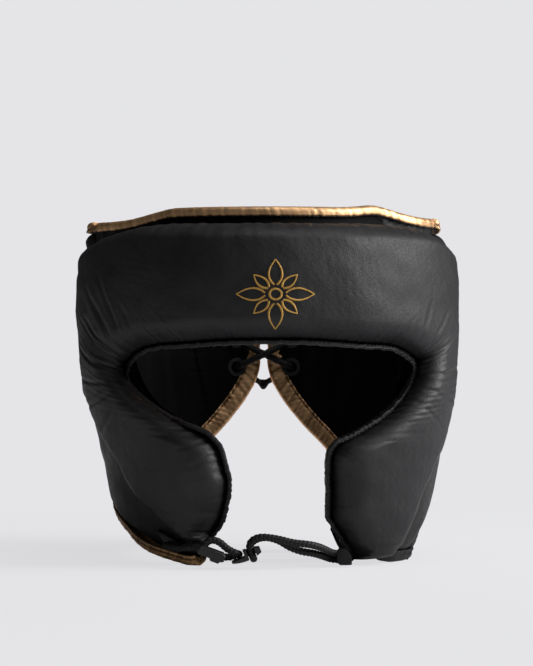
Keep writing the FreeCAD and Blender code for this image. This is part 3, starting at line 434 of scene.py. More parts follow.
@dataclass
class Strip:
    """Closed stuffed form between two boundary curves of the head's wall.

    With front_on, the inner flank's widths are those seen from straight ahead.
    Below the height called wedge, the outer boundary stays outside the inner one, and tips narrow to an edge.
    Its section goes up the inner flank, across the top, down the outer flank and back along the base.  On a
    flank of angle a the place is radius (1 - cos a) in from the boundary and its share of the depth is
    (sin a + sin tuck) / (1 + sin tuck).
    """

    name: str
    inner: Edge
    outer: Edge
    filling: Filling
    inner_roll: Roll
    outer_roll: Roll
    rows: int = 300
    columns: tuple[int, int, int, int] = (14, 40, 14, 6)
    span: tuple[float, float] = (0.0, 1.0)
    wedge: float = 0.0
    front_on: bool = False
    points: Array = field(init=False, repr=False)

    def __post_init__(self) -> None:
        """Works out the undisturbed grid and the measures that wrinkles and seams are made from."""
        closed = self.inner.closed
        last = len(self.inner.places) - (0 if closed else 1)
        fine = np.linspace(self.span[0] * last, self.span[1] * last, 2000)
        level = (self.filling.base + self.filling.top) / 2
        ends = [edge.line(fine, level) for edge in (self.inner, self.outer)]
        travelled = path_length(ends[0] + ends[1])
        at = np.interp(np.linspace(0, travelled[-1], self.rows + (1 if closed else 0)), travelled, fine)
        self.at = at[: self.rows][:, None]
        low, high = (edge.line(self.at, level)[:, 0] for edge in (self.inner, self.outer))
        middle = (low + high) / 2
        self.along = path_length(middle)[:, None]
        self.period = float(self.along[-1, 0] + np.linalg.norm(middle[0] - middle[-1])) if closed else None
        self.width = np.maximum(np.linalg.norm(high - low, axis=1), 1.6)[:, None]
        way = (high - low) / np.maximum(np.linalg.norm(high - low, axis=1), 1e-6)[:, None]
        self.skew = (self._skew(low, way, self.front_on), self._skew(high, way, False))
        share, rise = self._section()
        to_start = self.along - self.filling.end_flange[0]
        to_end = np.minimum(to_start, self.along[-1] - self.along - self.filling.end_flange[1])
        fall = np.ones_like(self.along)
        if self.filling.end_round and not closed:
            left = 1 - np.clip((to_end + 0.3) / self.filling.end_round, 0, 1)
            fall = np.maximum(np.sqrt(1 - left ** 2), 0.1)
        span = self.filling.top - self.filling.base
        crown = self.filling.crown * (1 - (2 * share - 1) ** 2) * rise
        self.depth = self.filling.base + (span * rise + math.copysign(1, span) * crown) * fall
        self.share, self.rise = share, rise
        turn_in, height_in = self.inner.on_wall(self.at, self.depth)
        turn_out, height_out = self.outer.on_wall(self.at, self.depth)
        if self.wedge:
            away = np.sign(turn_in)
            kept = away * np.maximum(away * turn_out, away * turn_in + 0.012)
            turn_out = np.where(height_in < self.wedge, kept, turn_out)
        self.turn = turn_in + (turn_out - turn_in) * share
        self.height = height_in + (height_out - height_in) * share
        self.from_inner = self.width * share * self.skew[0]
        self.from_outer = self.width * (1 - share) * self.skew[1]
        self.flat = FORM.point(self.turn, self.height, self.depth)
        self.points = self.flat.copy()

    def _skew(self, end: Array, way: Array, front_on: bool) -> Array:
        """Sine of the angle between a boundary and the way across the strip, evened out along it.

        Front on, it is the part of the way that is seen square to the boundary from straight ahead.
        """
        seen = np.array([1.0, 0.0, 1.0]) if front_on else np.ones(3)
        tangent, way = np.gradient(end, axis=0) * seen, way * seen
        tangent /= np.maximum(np.linalg.norm(tangent, axis=1), 1e-6)[:, None]
        sine = np.linalg.norm(np.cross(tangent, way), axis=1)
        kernel = np.hanning(23) / np.hanning(23).sum()
        return np.clip(np.convolve(np.pad(sine, 11, mode="edge"), kernel, "valid"), 0.3, 1.0)[:, None]

    def _section(self) -> tuple[Array, Array]:
        """Share of the width and share of the depth, for each row and column."""
        up, across, down, back = self.columns

        def flank(roll: Roll, count: int, skew: Array) -> tuple[Array, Array]:
            tuck = math.radians(roll.tuck)
            angle = np.linspace(-tuck, math.pi / 2, count)[None, :]
            room = 0.46 * self.width
            flange = np.minimum(roll.flange / skew, room * 0.7)
            radius = np.minimum(roll.radius / skew, room - flange)
            place = (flange + radius * (1 - np.cos(angle))) / self.width
            return np.minimum(place, 0.5), (np.sin(angle) + math.sin(tuck)) / (1 + math.sin(tuck)) + 0 * place

        start, start_rise = flank(self.inner_roll, up, self.skew[0])
        stop, stop_rise = flank(self.outer_roll, down, self.skew[1])
        stop, stop_rise = 1 - stop[:, ::-1], stop_rise[:, ::-1]
        bridge = np.linspace(0, 1, across + 2)[None, 1:-1]
        top = start[:, -1:] + (stop[:, :1] - start[:, -1:]) * bridge
        under = np.linspace(0, 1, back + 2)[None, 1:-1]
        edges = []
        if self.outer_roll.flange:
            edges.append(np.ones_like(self.width))
        rear_from = np.ones_like(self.width) if self.outer_roll.flange else stop[:, -1:]
        rear_to = np.zeros_like(self.width) if self.inner_roll.flange else start[:, :1]
        rear = rear_from + (rear_to - rear_from) * under
        edges.append(rear)
        if self.inner_roll.flange:
            edges.append(np.zeros_like(self.width))
        foot = np.concatenate(edges, 1)
        share = np.concatenate([start, top, stop, foot], 1)
        rise = np.concatenate([start_rise, np.ones_like(top), stop_rise, np.zeros_like(foot)], 1)
        return share, rise

    def displace(self, distance: Array) -> None:
        """Moves each point along the grid's normal, outwards where positive."""
        closed = self.inner.closed
        normal = grid_normals(self.points, closed, True)
        facing = math.copysign(1, self.filling.top - self.filling.base)
        wall = FORM.normal(self.turn, self.height, self.depth) * facing
        top = self.rise > 0.6
        agree = np.sign(np.sum(normal * wall, -1)[top].sum())
        self.points = self.points + normal * agree * distance[..., None]

    def object(self) -> bpy.types.Object:
        """The strip as a closed mesh with its seam distances as attributes."""
        rows, columns = self.share.shape
        closed = self.inner.closed
        quads = grid_quads(rows, columns, closed, True)
        fans = [] if closed else end_rings(rows, columns)
        lengthwise = np.broadcast_to(self.along, self.share.shape)
        around = np.linspace(0, 1, columns)[None, :] * self.width
        uv = np.stack([lengthwise, np.broadcast_to(around, self.share.shape)], -1).reshape(-1, 2) * MM
        seam = np.exp(-np.minimum(self.from_inner, self.from_outer) / 5.0) * (self.rise > 0.02)
        moved = np.sum((self.points - self.flat) * FORM.normal(self.turn, self.height, self.depth), -1)
        return write_mesh(self.name, self.points, quads, fans, uv,
                          {"seam": seam, "crest": np.clip(moved, -2, 2)})


# ------------------------------------------------------------------ edges, cords and thread
@dataclass
class Band:
    """Bound edge: a leather strip folded over a panel's edge and sewn through, ruched by its stitches.

    The section is a U with rounded corners in the plane of the face normal and the way off the panel.
    """

    name: str
    path: Array
    face: Array
    off: Array
    half: float
    cover: float
    seed: int
    closed: bool = False
    lip: float = 1.2
    thread: float = 0.62
    ruche: float = 1.0

    def _profile(self) -> tuple[Array, Array]:
        """Places off the edge and across the panel of the closed section."""
        corner = min(self.half, 3.2)
        turn = np.linspace(math.pi / 2, 0, 8)
        run = np.linspace(-self.cover, self.lip - corner, 12)
        rim = np.linspace(self.half - corner, corner - self.half,
                          5)[1:-1] if self.half > corner else np.array([])
        off = [run, self.lip - corner + corner * np.cos(turn)[1:], np.full(rim.shape, self.lip)]
        across = [np.full(run.shape, self.half), self.half - corner + corner * np.sin(turn)[1:], rim]
        off += [off[1][::-1], run[::-1]]
        across += [-across[1][::-1], -across[0]]
        inside = np.array([[-self.cover, 0.9 - self.half], [-1.2, 1.2 - self.half], [-1.2, self.half - 1.2],
                           [-self.cover, self.half - 0.9]])
        return np.concatenate(off + [inside[:, 0]]), np.concatenate(across + [inside[:, 1]])

    def seam_line(self, sign: int) -> Array:
        """Line of the stitches on the outer (1) or inner (-1) leaf."""
        off = -self.cover * self.thread
        return self.path + self.off * off + self.face * sign * (self.half - 0.12)

    def object(self) -> bpy.types.Object:
        """The band as a closed mesh: pinched at its stitches, with folds across it."""
        off, across = self._profile()
        along = path_length(self.path)[:, None]
        outside = np.arange(len(off)) < len(off) - 4
        leaf = (off < self.lip - 0.5) & outside
        pinch = np.exp(-((off + self.cover * self.thread) / 0.8) ** 2) * leaf
        folds = (ripple(along + off[None] * 0.35, 4.2, self.seed) * 0.13
                 + ripple(along, 11.0, self.seed + 1) * 0.12
                 + ripple(along - off[None] * 0.5, 2.6, self.seed + 2) * 0.10 * (self.ruche - 1)) * self.ruche
        lifted = (folds * (0.6 + 0.9 * pinch) - 0.34 * pinch) * outside
        plump = 0.22 * (1 - pinch) * leaf
        height = across + np.sign(across) * (lifted + plump) * np.minimum(np.abs(across) / self.half, 1)
        reach = off + 0.5 * lifted * (off > self.lip - 1.5)
        points = self.path[:, None] + self.off[:, None] * reach[..., None]
        points = points + self.face[:, None] * height[..., None]
        rows, columns = points.shape[:2]
        quads = grid_quads(rows, columns, self.closed, True)
        fans = [] if self.closed else end_rings(rows, columns)
        values = {"seam": np.broadcast_to(pinch, (rows, columns)), "crest": lifted}
        return write_mesh(self.name, points, quads, fans, None, values)


def edge_band(name: str, edge: Edge, span: tuple[float, float], depths: tuple[float, float], spread: float,
              cover: float,
              off_hint: Sequence[float], seed: int, half: Optional[float] = None) -> Band:
    """Band along part of a boundary curve, at the middle of the panel's two depths.

    Args:
        name: piece name.
        edge: the panel's boundary.
        span: first and last control place, as numbers along the edge.
        depths: the panel's inner and outer depth.
        spread: thickness of the binding leather.
        cover: how far the band covers the panel.
        off_hint: rough direction off the panel.
        seed: fixes the folds.
        half: half the band's thickness, if it isn't the panel's with the leather on both sides.

    Returns:
        The band.
    """
    middle = sum(depths) / 2
    at = np.linspace(*span, 900)
    along = path_length(edge.line(at, middle))
    pick = np.interp(np.linspace(0, along[-1], max(int(along[-1] / 0.8), 8)), along, at)
    turn, height = edge.on_wall(pick, np.full(pick.shape, middle))
    path, face = FORM.point(turn, height, middle), FORM.normal(turn, height, middle)
    off = way_off(path, face)
    if (off @ np.asarray(off_hint, float)).sum() < 0:
        off = -off
    thick = half if half is not None else (depths[1] - depths[0]) / 2 + spread
    return Band(name, path, face, off, thick, cover, seed, lip=spread)


@dataclass(frozen=True)
class Stitch:
    """Distance from stitch to stitch, a stitch's length, the thread's radius and how deep its middle lies."""

    pitch: float
    length: float
    radius: float
    sink: float


RIM_STITCH = Stitch(3.1, 2.2, 0.48, 0.0)
BROW_STITCH = Stitch(2.9, 2.1, 0.42, 0.0)
BINDING_STITCH = Stitch(2.7, 1.9, 0.26, 0.16)
TAB_STITCH = Stitch(2.6, 1.8, 0.26, 0.0)


def thread_row(name: str, path: Array, lift: Array, stitch: Stitch) -> bpy.types.Object:
    """Row of stitches: slim spindles, radius sqrt(1 - t^2), repeated along a path.

    Args:
        name: piece name.
        path: line of the row, in millimetres.
        lift: direction that stands off the leather, one for each point of the path.
        stitch: measures of one stitch.

    Returns:
        The row as one mesh.
    """
    along = path_length(path)
    at = np.arange(stitch.pitch / 2, along[-1] - stitch.pitch / 2, stitch.pitch)
    middle = sample(at, along, path)
    tangent = unit(sample(at, along, np.gradient(path, along, axis=0)))
    up = sample(at, along, lift)
    up = unit(up - tangent * np.sum(up * tangent, 1)[:, None])
    across = np.cross(tangent, up)
    half = tangent * stitch.length / 2
    return spindles(name, middle - up * stitch.sink, half, up * stitch.radius, across * stitch.radius)


def spindles(name: str, middle: Array, half: Array, up: Array, across: Array) -> bpy.types.Object:
    """Closed spindles given by their middles, half lengths and two radii, all as vectors in millimetres."""
    step = np.array([-0.97, -0.62, 0.0, 0.62, 0.97])
    turn = np.arange(6) * math.pi / 3
    girth = np.sqrt(1 - step ** 2)
    along = np.repeat(step, 6)
    rise, side = np.outer(girth, np.cos(turn)).ravel(), np.outer(girth, np.sin(turn)).ravel()
    points = (middle[:, None] + half[:, None] * along[None, :, None] + up[:, None] * rise[None, :, None]
              + across[:, None] * side[None, :, None])
    count, size = points.shape[:2]
    quads = (grid_quads(5, 6, False, True)[None] + (np.arange(count) * size)[:, None, None]).reshape(-1, 4)
    base = (np.arange(count) * size)[:, None, None]
    caps = np.array([[0, 1, 2, 3], [0, 3, 4, 5], [24, 25, 26, 27], [24, 27, 28, 29]])
    quads = np.vstack([quads, (caps[None] + base).reshape(-1, 4)])
    return write_mesh(name, points.reshape(-1, 3), quads)


def tube(name: str, path: Array, radius: Union[float, Array], sides: int = 14, braid: float = 0.0,
         pitch: float = 8.0, closed: bool = False) -> bpy.types.Object:
    """Tube along a path; a braid adds two families of helical strands that pass over and under.

    Args:
        name: piece name.
        path: points of the middle line, in millimetres.
        radius: radius, one number or one for each point.
        sides: points round the tube.
        braid: height of the strands as a share of the radius.
        pitch: length in which a strand goes once round.
        closed: whether the path joins up.

    Returns:
        The tube as one closed mesh.
    """
    across, up = carried_frames(path)
    along = path_length(path)[:, None]
    turn = np.linspace(0, 2 * math.pi, sides, endpoint=False)[None, :]
    radius = np.broadcast_to(np.asarray(radius, float), (len(path),))[:, None]
    strands = 4
    wave_a = strands * (turn + 2 * math.pi * along / pitch) / 2
    wave_b = strands * (turn - 2 * math.pi * along / pitch) / 2
    over = 0.5 + 0.5 * np.sin(wave_a + wave_b) * 0.6
    ridge = np.maximum(np.abs(np.sin(wave_a)) ** 0.6 * over, np.abs(np.sin(wave_b)) ** 0.6 * (1.1 - over))
    girth = radius * (1 + braid * (ridge - 0.7))
    points = (path[:, None] + across[:, None] * (girth * np.cos(turn))[..., None]
              + up[:, None] * (girth * np.sin(turn))[..., None])
    rows = len(path)
    quads = grid_quads(rows, sides, closed, True)
    fans = [] if closed else end_rings(rows, sides)
    return write_mesh(name, points, quads, fans, None, {"crest": ridge})


def spline_line(route: Sequence[Sequence[float]], pitch: float) -> Array:
    """Even points of the smooth NURBS line whose control points are the route, in millimetres."""
    curve = bpy.data.curves.new("route", "CURVE")
    curve.dimensions = "3D"
    curve.resolution_u = 20
    spline = curve.splines.new("NURBS")
    spline.points.add(len(route) - 1)
    spline.points.foreach_set("co", np.column_stack([np.array(route) * MM, np.ones(len(route))]).ravel())
    spline.order_u = 3
    spline.use_endpoint_u = True
    holder = bpy.data.objects.new("route", curve)
    mesh = bpy.data.meshes.new_from_object(holder)
    line = np.zeros(len(mesh.vertices) * 3, np.float32)
    mesh.vertices.foreach_get("co", line)
    bpy.data.objects.remove(holder)
    bpy.data.curves.remove(curve)
    bpy.data.meshes.remove(mesh)
    return even_points(line.reshape(-1, 3).astype(float) / MM, pitch)


# ------------------------------------------------------------------ shader expressions
Value = Union["Signal", float]


class Signal:
    """A socket of a node tree that can stand in a Python expression."""

    def __init__(self, bench: "Bench", socket: bpy.types.NodeSocket) -> None:
        """Keeps the bench that makes nodes and the socket that carries the value."""
        self.bench = bench
        self.socket = socket

    def _math(self, operation: str, first: Value, second: Value = 0.0) -> "Signal":
        """One Math node."""
        return self.bench.node("ShaderNodeMath", {"operation": operation}, {0: first, 1: second})

    def __add__(self, other: Value) -> "Signal":
        """Sum."""
        return self._math("ADD", self, other)

    __radd__ = __add__

    def __mul__(self, other: Value) -> "Signal":
        """Product."""
        return self._math("MULTIPLY", self, other)

    def __sub__(self, other: Value) -> "Signal":
        """Difference."""
        return self._math("SUBTRACT", self, other)

    def __rsub__(self, other: Value) -> "Signal":
        """Difference, the other way round."""
        return self._math("SUBTRACT", other, self)

    def ramp(self, low: float, high: float) -> "Signal":
        """Rises from 0 at low to 1 at high and stays between them."""
        return self.bench.node("ShaderNodeMapRange", {"interpolation_type": "SMOOTHSTEP"},
                               {"Value": self, "From Min": low, "From Max": high, "To Min": 0.0,
                                "To Max": 1.0})


class Bench:
    """The node tree of one material and the ways to add to it."""

    def __init__(self, name: str) -> None:
        """Starts an empty material."""
        self.material = bpy.data.materials.new(name)
        self.material.use_nodes = True
        self.tree = self.material.node_tree
        self.tree.nodes.clear()

    def node(self, kind: str, settings: Optional[dict] = None, inputs: Optional[dict] = None,
             output: Union[int, str] = 0) -> Signal:
        """Adds a node.

        Args:
            kind: name of the node type.
            settings: properties that are set first.
            inputs: values or signals by socket name or number.
            output: the output to carry on with.

        Returns:
            The output as a signal.
        """
        made = self.tree.nodes.new(kind)
        for key, value in (settings or {}).items():
            setattr(made, key, value)
        for key, value in (inputs or {}).items():
            if isinstance(value, Signal):
                self.tree.links.new(value.socket, made.inputs[key])
            else:
                made.inputs[key].default_value = value
        return Signal(self, made.outputs[output])

    def place(self) -> Signal:
        """Object coordinates, in metres."""
        return self.node("ShaderNodeTexCoord", output="Object")

    def attribute(self, name: str) -> Signal:
        """A number stored on the mesh."""
        return self.node("ShaderNodeAttribute", {"attribute_name": name}, output="Fac")

    def noise(self, scale: float, detail: float = 3.0, roughness: float = 0.5) -> Signal:
        """Fractal noise on object coordinates, near 0.5."""
        return self.node("ShaderNodeTexNoise", {}, {"Vector": self.place(), "Scale": scale, "Detail": detail,
                                                    "Roughness": roughness}, "Fac")

    def cells(self, scale: float, feature: str = "F1", wander: float = 0.0) -> Signal:
        """Distance to the nearest cell point or cell edge."""
        where = self.place()
        if wander:
            push = self.node("ShaderNodeTexNoise", {},
                             {"Vector": where, "Scale": scale * 0.35, "Detail": 2.0}, "Color")
            push = self.node("ShaderNodeVectorMath", {"operation": "SCALE"},
                             {0: push, "Scale": wander / scale})
            where = self.node("ShaderNodeVectorMath", {"operation": "ADD"}, {0: where, 1: push})
        return self.node("ShaderNodeTexVoronoi", {"feature": feature}, {"Vector": where, "Scale": scale},
                         "Distance")

    def mix(self, share: Value, first: Union[Signal, tuple], second: Union[Signal, tuple]) -> Signal:
        """Colour between two colours."""
        first, second = ((*c, 1.0) if isinstance(c, tuple) else c for c in (first, second))
        return self.node("ShaderNodeMix", {"data_type": "RGBA"}, {0: share, 6: first, 7: second}, 2)

    def bump(self, height: Signal, distance: float, strength: float,
             under: Optional[Signal] = None) -> Signal:
        """Bumped normal; distance is the height in metres of a step from 0 to 1."""
        inputs = {"Height": height, "Distance": distance, "Strength": strength}
        if under is not None:
            inputs["Normal"] = under
        return self.node("ShaderNodeBump", {}, inputs)

    def finish(self, inputs: dict) -> bpy.types.Material:
        """Closes the tree with a principled surface."""
        surface = self.node("ShaderNodeBsdfPrincipled", {}, inputs)
        self.node_output(surface)
        return self.material

    def node_output(self, surface: Signal) -> None:
        """Joins a surface to the material's output."""
        out = self.tree.nodes.new("ShaderNodeOutputMaterial")
        self.tree.links.new(surface.socket, out.inputs["Surface"])


# ------------------------------------------------------------------ finishes
@dataclass(frozen=True)
class Leather:
    """Dyed leather: pebbled grain with fine lines, smoother on its crests; painted highlight on its crests,
    painted shade in its creases and near its seams.
    """

    name: str
    dark: tuple[float, float, float] = (0.0065, 0.0065, 0.0072)
    pale: tuple[float, float, float] = (0.0150, 0.0150, 0.0162)
    gloss: float = 0.51
    grain: float = 1150.0
    depth: float = 0.00016
    metal: float = 0.0
    specular: float = 0.30

    def material(self) -> bpy.types.Material:
        """Builds the node tree."""
        bench = Bench(self.name)
        pebble = bench.cells(self.grain, wander=0.8)
        lines = bench.cells(self.grain * 0.42, "DISTANCE_TO_EDGE", 1.2).ramp(0.0, 0.09)
        pores = bench.noise(self.grain * 2.4, 2.0).ramp(0.30, 0.62)
        cloud = bench.noise(26.0, 4.0, 0.6)
        mottle = bench.noise(160.0, 3.0, 0.6)
        crest = bench.attribute("crest").ramp(-0.6, 0.9)
        seam = bench.attribute("seam")
        relief = (1 - pebble) * 0.55 + lines * 0.30 + pores * 0.15
        normal = bench.bump(relief, self.depth, 0.75,
                            bench.bump(bench.noise(520.0, 4.0), self.depth * 2.0, 0.35))
        # Painted light in the colour: crest makes raised folds paler as a painted highlight and creases darker
        # as painted shade, and seam darkens the leather near the pad seams as painted shade. Cloud and mottle
        # are the leather's own uneven tone.
        tone = (cloud.ramp(0.30, 0.72) * 0.5 + mottle.ramp(0.3, 0.7) * 0.22 + crest * 0.34) - seam * 0.12
        colour = bench.mix(tone, self.dark, self.pale)
        rough = self.gloss + (cloud - 0.5) * 0.16 + (0.5 - crest) * 0.08
        rough = rough + (1 - lines) * 0.10 + (mottle - 0.5) * 0.10
        return bench.finish({"Base Color": colour, "Roughness": rough, "Metallic": self.metal,
                             "Normal": normal,
                             "Specular IOR Level": self.specular})


@dataclass(frozen=True)
class GoldLeather:
    """Foiled leather: bronze gold with a painted highlight on the crests of its folds, and painted shade in
    its fold hollows and stitch grooves.
    """

    name: str
    shade: tuple[float, float, float] = (0.165, 0.082, 0.034)
    bright: tuple[float, float, float] = (0.97, 0.60, 0.31)
    gloss: float = 0.40

    def material(self) -> bpy.types.Material:
        """Builds the node tree."""
        bench = Bench(self.name)
        cloud = bench.noise(70.0, 4.0, 0.65)
        crackle = bench.cells(900.0, "DISTANCE_TO_EDGE", 1.6).ramp(0.0, 0.16)
        crest = bench.attribute("crest").ramp(-0.38, 0.30)
        seam = bench.attribute("seam")
        # Painted light in the colour: crest makes fold crests brighter as a painted highlight and fold hollows
        # darker as painted shade, and seam darkens the stitch grooves as painted shade. Cloud and crackle are
        # the foil's own uneven tone.
        tone = cloud.ramp(0.25, 0.75) * 0.32 + crest * 0.60 + crackle * 0.10 - seam * 0.30
        colour = bench.mix(tone, self.shade, self.bright)
        relief = crackle * 0.5 + bench.noise(1500.0, 2.0) * 0.5
        normal = bench.bump(relief, 0.00009, 0.7, bench.bump(bench.noise(260.0, 3.0), 0.0005, 0.5))
        rough = self.gloss + (cloud - 0.5) * 0.30 + seam * 0.14 + (1 - crackle) * 0.12
        return bench.finish({"Base Color": colour, "Roughness": rough, "Metallic": 0.78, "Normal": normal})


@dataclass(frozen=True)
class Thread:
    """Twisted thread or braid yarn: fine fibres along slanted lines, with painted highlight on the strands and
    painted shade between them.
    """

    name: str
    dark: tuple[float, float, float]
    pale: tuple[float, float, float]
    gloss: float = 0.6
    metal: float = 0.0
    specular: float = 0.4

    def material(self) -> bpy.types.Material:
        """Builds the node tree."""
        bench = Bench(self.name)
        fibre = bench.noise(2600.0, 2.0, 0.7)
        cloud = bench.noise(240.0, 2.0)
        crest = bench.attribute("crest").ramp(0.30, 0.92)
        # crest makes the braid's strands paler as a painted highlight and the hollows between them darker as
        # painted shade.
        colour = bench.mix(fibre.ramp(0.3, 0.7) * 0.25 + crest * 0.75 + cloud * 0.1, self.dark, self.pale)
        normal = bench.bump(fibre, 0.00012, 0.6)
        rough = self.gloss + (fibre - 0.5) * 0.3
        return bench.finish({"Base Color": colour, "Roughness": rough, "Metallic": self.metal,
                             "Normal": normal,
                             "Specular IOR Level": self.specular})


@dataclass(frozen=True)
class Moulding:
    """Moulded plastic or enamelled metal with a fine texture and rubbed patches."""

    name: str
    dark: tuple[float, float, float] = (0.010, 0.010, 0.011)
    pale: tuple[float, float, float] = (0.022, 0.022, 0.023)
    gloss: float = 0.42
    metal: float = 0.0

    def material(self) -> bpy.types.Material:
        """Builds the node tree."""
        bench = Bench(self.name)
        spark = bench.noise(3200.0, 2.0, 0.6)
        cloud = bench.noise(180.0, 4.0, 0.6)
        scratch = bench.noise(620.0, 5.0, 0.75).ramp(0.58, 0.66)
        colour = bench.mix(cloud.ramp(0.3, 0.7) * 0.6 + scratch * 0.4, self.dark, self.pale)
        normal = bench.bump(spark, 0.00006, 0.5, bench.bump(cloud, 0.0002, 0.25))
        rough = self.gloss + (cloud - 0.5) * 0.22 + scratch * 0.10
        return bench.finish({"Base Color": colour, "Roughness": rough, "Metallic": self.metal,
                             "Normal": normal})


FINISHES = {
    "cover": Leather("black_cover_leather"),
    # Panel leather: its coarser grain is its own, and its darker colour than the cover is painted shade, a
    # shaded copy of the same black leather.
    "panel": Leather("black_panel_leather", dark=(0.0038, 0.0038, 0.0042), pale=(0.0095, 0.0095, 0.0102),
                     gloss=0.52,
                     grain=820.0, depth=0.00022, specular=0.22),
    # Lining leather: its very dark colour is painted shade for the inside of the headgear.
    "lining": Leather("black_lining_leather", dark=(0.0012, 0.0012, 0.0014), pale=(0.0036, 0.0036, 0.0039),
                      gloss=0.60,
                      grain=760.0, depth=0.00012, specular=0.06),
    "binding": GoldLeather("bronze_gold_binding"),
    "gold_thread": Thread("gold_thread", (0.40, 0.22, 0.045), (0.80, 0.50, 0.14), 0.42, 0.35),
    "bronze_thread": Thread("bronze_thread", (0.11, 0.060, 0.022), (0.26, 0.15, 0.06), 0.5, 0.3),
    "black_thread": Thread("black_thread", (0.0015, 0.0015, 0.0018), (0.008, 0.008, 0.009), 0.5,
                           specular=0.2),
    "cord": Thread("black_braid", (0.0008, 0.0008, 0.001), (0.016, 0.0155, 0.0155), 0.55, specular=0.22),
    "plastic": Moulding("black_moulding", (0.0022, 0.0022, 0.0025), (0.0075, 0.0075, 0.008), 0.42),
    "enamel": Moulding("black_enamel", (0.003, 0.003, 0.0035), (0.012, 0.012, 0.013), 0.42),
}
MADE: dict[str, bpy.types.Material] = {}
WELD_REACH = 0.00001


def give_finish(piece: bpy.types.Object, finish: str) -> None:
    """Puts a finish on a piece, and makes its material the first time."""
    if finish not in MADE:
        MADE[finish] = FINISHES[finish].material()
    piece.data.materials.clear()
    piece.data.materials.append(MADE[finish])


def soften(piece: bpy.types.Object, width: float, segments: int, degrees: float) -> None:
    """Rounds the edges that turn by more than an angle; the width is in metres."""
    bevel = piece.modifiers.new("soften", "BEVEL")
    bevel.width, bevel.segments = width, segments
    bevel.limit_method, bevel.angle_limit = "ANGLE", math.radians(degrees)


def finish_node(name: str, finish: str, width: float, segments: int, degrees: float) -> None:
    """Softens the edges of a CAD node that keeps its own shape, and gives it its finish."""
    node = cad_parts[name]
    weld = node.modifiers.new("weld", "WELD")
    weld.merge_threshold = WELD_REACH
    soften(node, width, segments, degrees)
    give_finish(node, finish)


def dress(piece: bpy.types.Object, finish: str, body: str, stands_for: Sequence[str] = ()) -> bpy.types.Object:
    """Gives a piece its finish, its body and the CAD nodes it stands for.

    Args:
        piece: the finished piece.
        finish: a key of the finishes.
        body: the body it moves with.
        stands_for: CAD nodes that it replaces.

    Returns:
        The piece.
    """
    give_finish(piece, finish)
    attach(piece, body)
    if stands_for:
        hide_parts(*stands_for)
    LOG.info("%s rides on %s", piece.name, body)
    return piece


def stitch_leaves(band: Band, body: str) -> None:
    """Bronze stitches on both leaves of a gold band."""
    for sign, tag in ((1, "outer"), (-1, "inner")):
        row = thread_row(f"{band.name}_{tag}_stitches", band.seam_line(sign), band.face * sign,
                         BINDING_STITCH)
        dress(row, "bronze_thread", body)


# ------------------------------------------------------------------ wrinkles
@dataclass(frozen=True)
class Crease:
    """One fold in the leather: a curve through places in front view, its depth and its width."""

    places: tuple[tuple[float, float], ...]
    depth: float
    width: float


@dataclass(frozen=True)
class Pucker:
    """Folds that run off a seam: their height, spacing and reach, and where along it they are strongest."""

    height: float
    pitch: float
    reach: float
    seed: int
    peaks: tuple[tuple[float, float, float], ...] = ()


@dataclass(frozen=True)
class Bulge:
    """A fuller place of a pad: its turn and height, how far it spreads in each, and how far it stands out."""

    turn: float
    height: float
    turn_spread: float
    height_spread: float
    rise: float

    def on(self, strip: Strip) -> Array:
        """A bell over the pad: rise exp(-(turn / spread)^2 - (height / spread)^2), both from its middle."""
        return self.rise * np.exp(-((strip.turn - self.turn) / self.turn_spread) ** 2
                                  - ((strip.height - self.height) / self.height_spread) ** 2)


def fold_field(strip: Strip, creases: Sequence[Crease], spread: float = 118.0) -> Array:
    """Displacement of a set of creases: a groove exp(-(d/w)^2) with a soft shoulder on each side.

    Args:
        strip: the pad that is creased.
        creases: its creases.
        spread: millimetres of girth for a radian of turn.

    Returns:
        Displacement of each point, in millimetres.
    """
    place = np.stack([strip.turn * spread, strip.height], -1)
    total = np.zeros(strip.turn.shape)
    for crease in creases:
        knots = np.array([[FORM.turn_for(View.FRONT, x, z, 30.0) * spread, z] for x, z in crease.places])
        line = curve_through(knots, np.linspace(0, len(knots) - 1, 14))
        nearest = np.full(place.shape[:-1], 1e9)
        share = np.zeros(place.shape[:-1])
        for index, (start, end) in enumerate(zip(line, line[1:])):
            run = end - start
            at = np.clip(((place - start) @ run) / (run @ run), 0, 1)
            gap = np.linalg.norm(place - start - at[..., None] * run, axis=-1)
            share = np.where(gap < nearest, (index + at) / (len(line) - 1), share)
            nearest = np.minimum(gap, nearest)
        taper = np.sin(np.pi * np.clip(share, 0.02, 0.98)) ** 0.7
        width = crease.width * 0.72
        groove = np.exp(-(nearest / width) ** 2)
        shoulder = np.exp(-((nearest - 2.0 * width) / width) ** 2)
        total += 0.62 * crease.depth * taper * (0.42 * shoulder - groove)
    return total * (strip.rise > 0.35)


def pucker_field(strip: Strip, pucker: Pucker, inner: bool) -> Array:
    """Displacement of the folds off one seam: ripple(along) exp(-distance / reach)."""
    off = strip.from_inner if inner else strip.from_outer
    spread = 1.0 + 0.06 * off
    lean = off * 0.25 * np.sin(strip.along / 31.0)
    fold = ripple(strip.along + lean, pucker.pitch, pucker.seed, strip.period)
    gain = np.ones_like(strip.along)
    total = strip.along[-1, 0]
    for middle, width, extra in pucker.peaks:
        gain = gain + extra * np.exp(-((strip.along - middle * total) / (width * total)) ** 2)
    reach = pucker.reach * (0.75 + 0.5 * np.sin(strip.along / 17.0 + pucker.seed) ** 2) * np.sqrt(gain)
    return pucker.height * gain * fold * np.exp(-off / reach) / spread * smooth(0.05, 0.5, strip.rise)


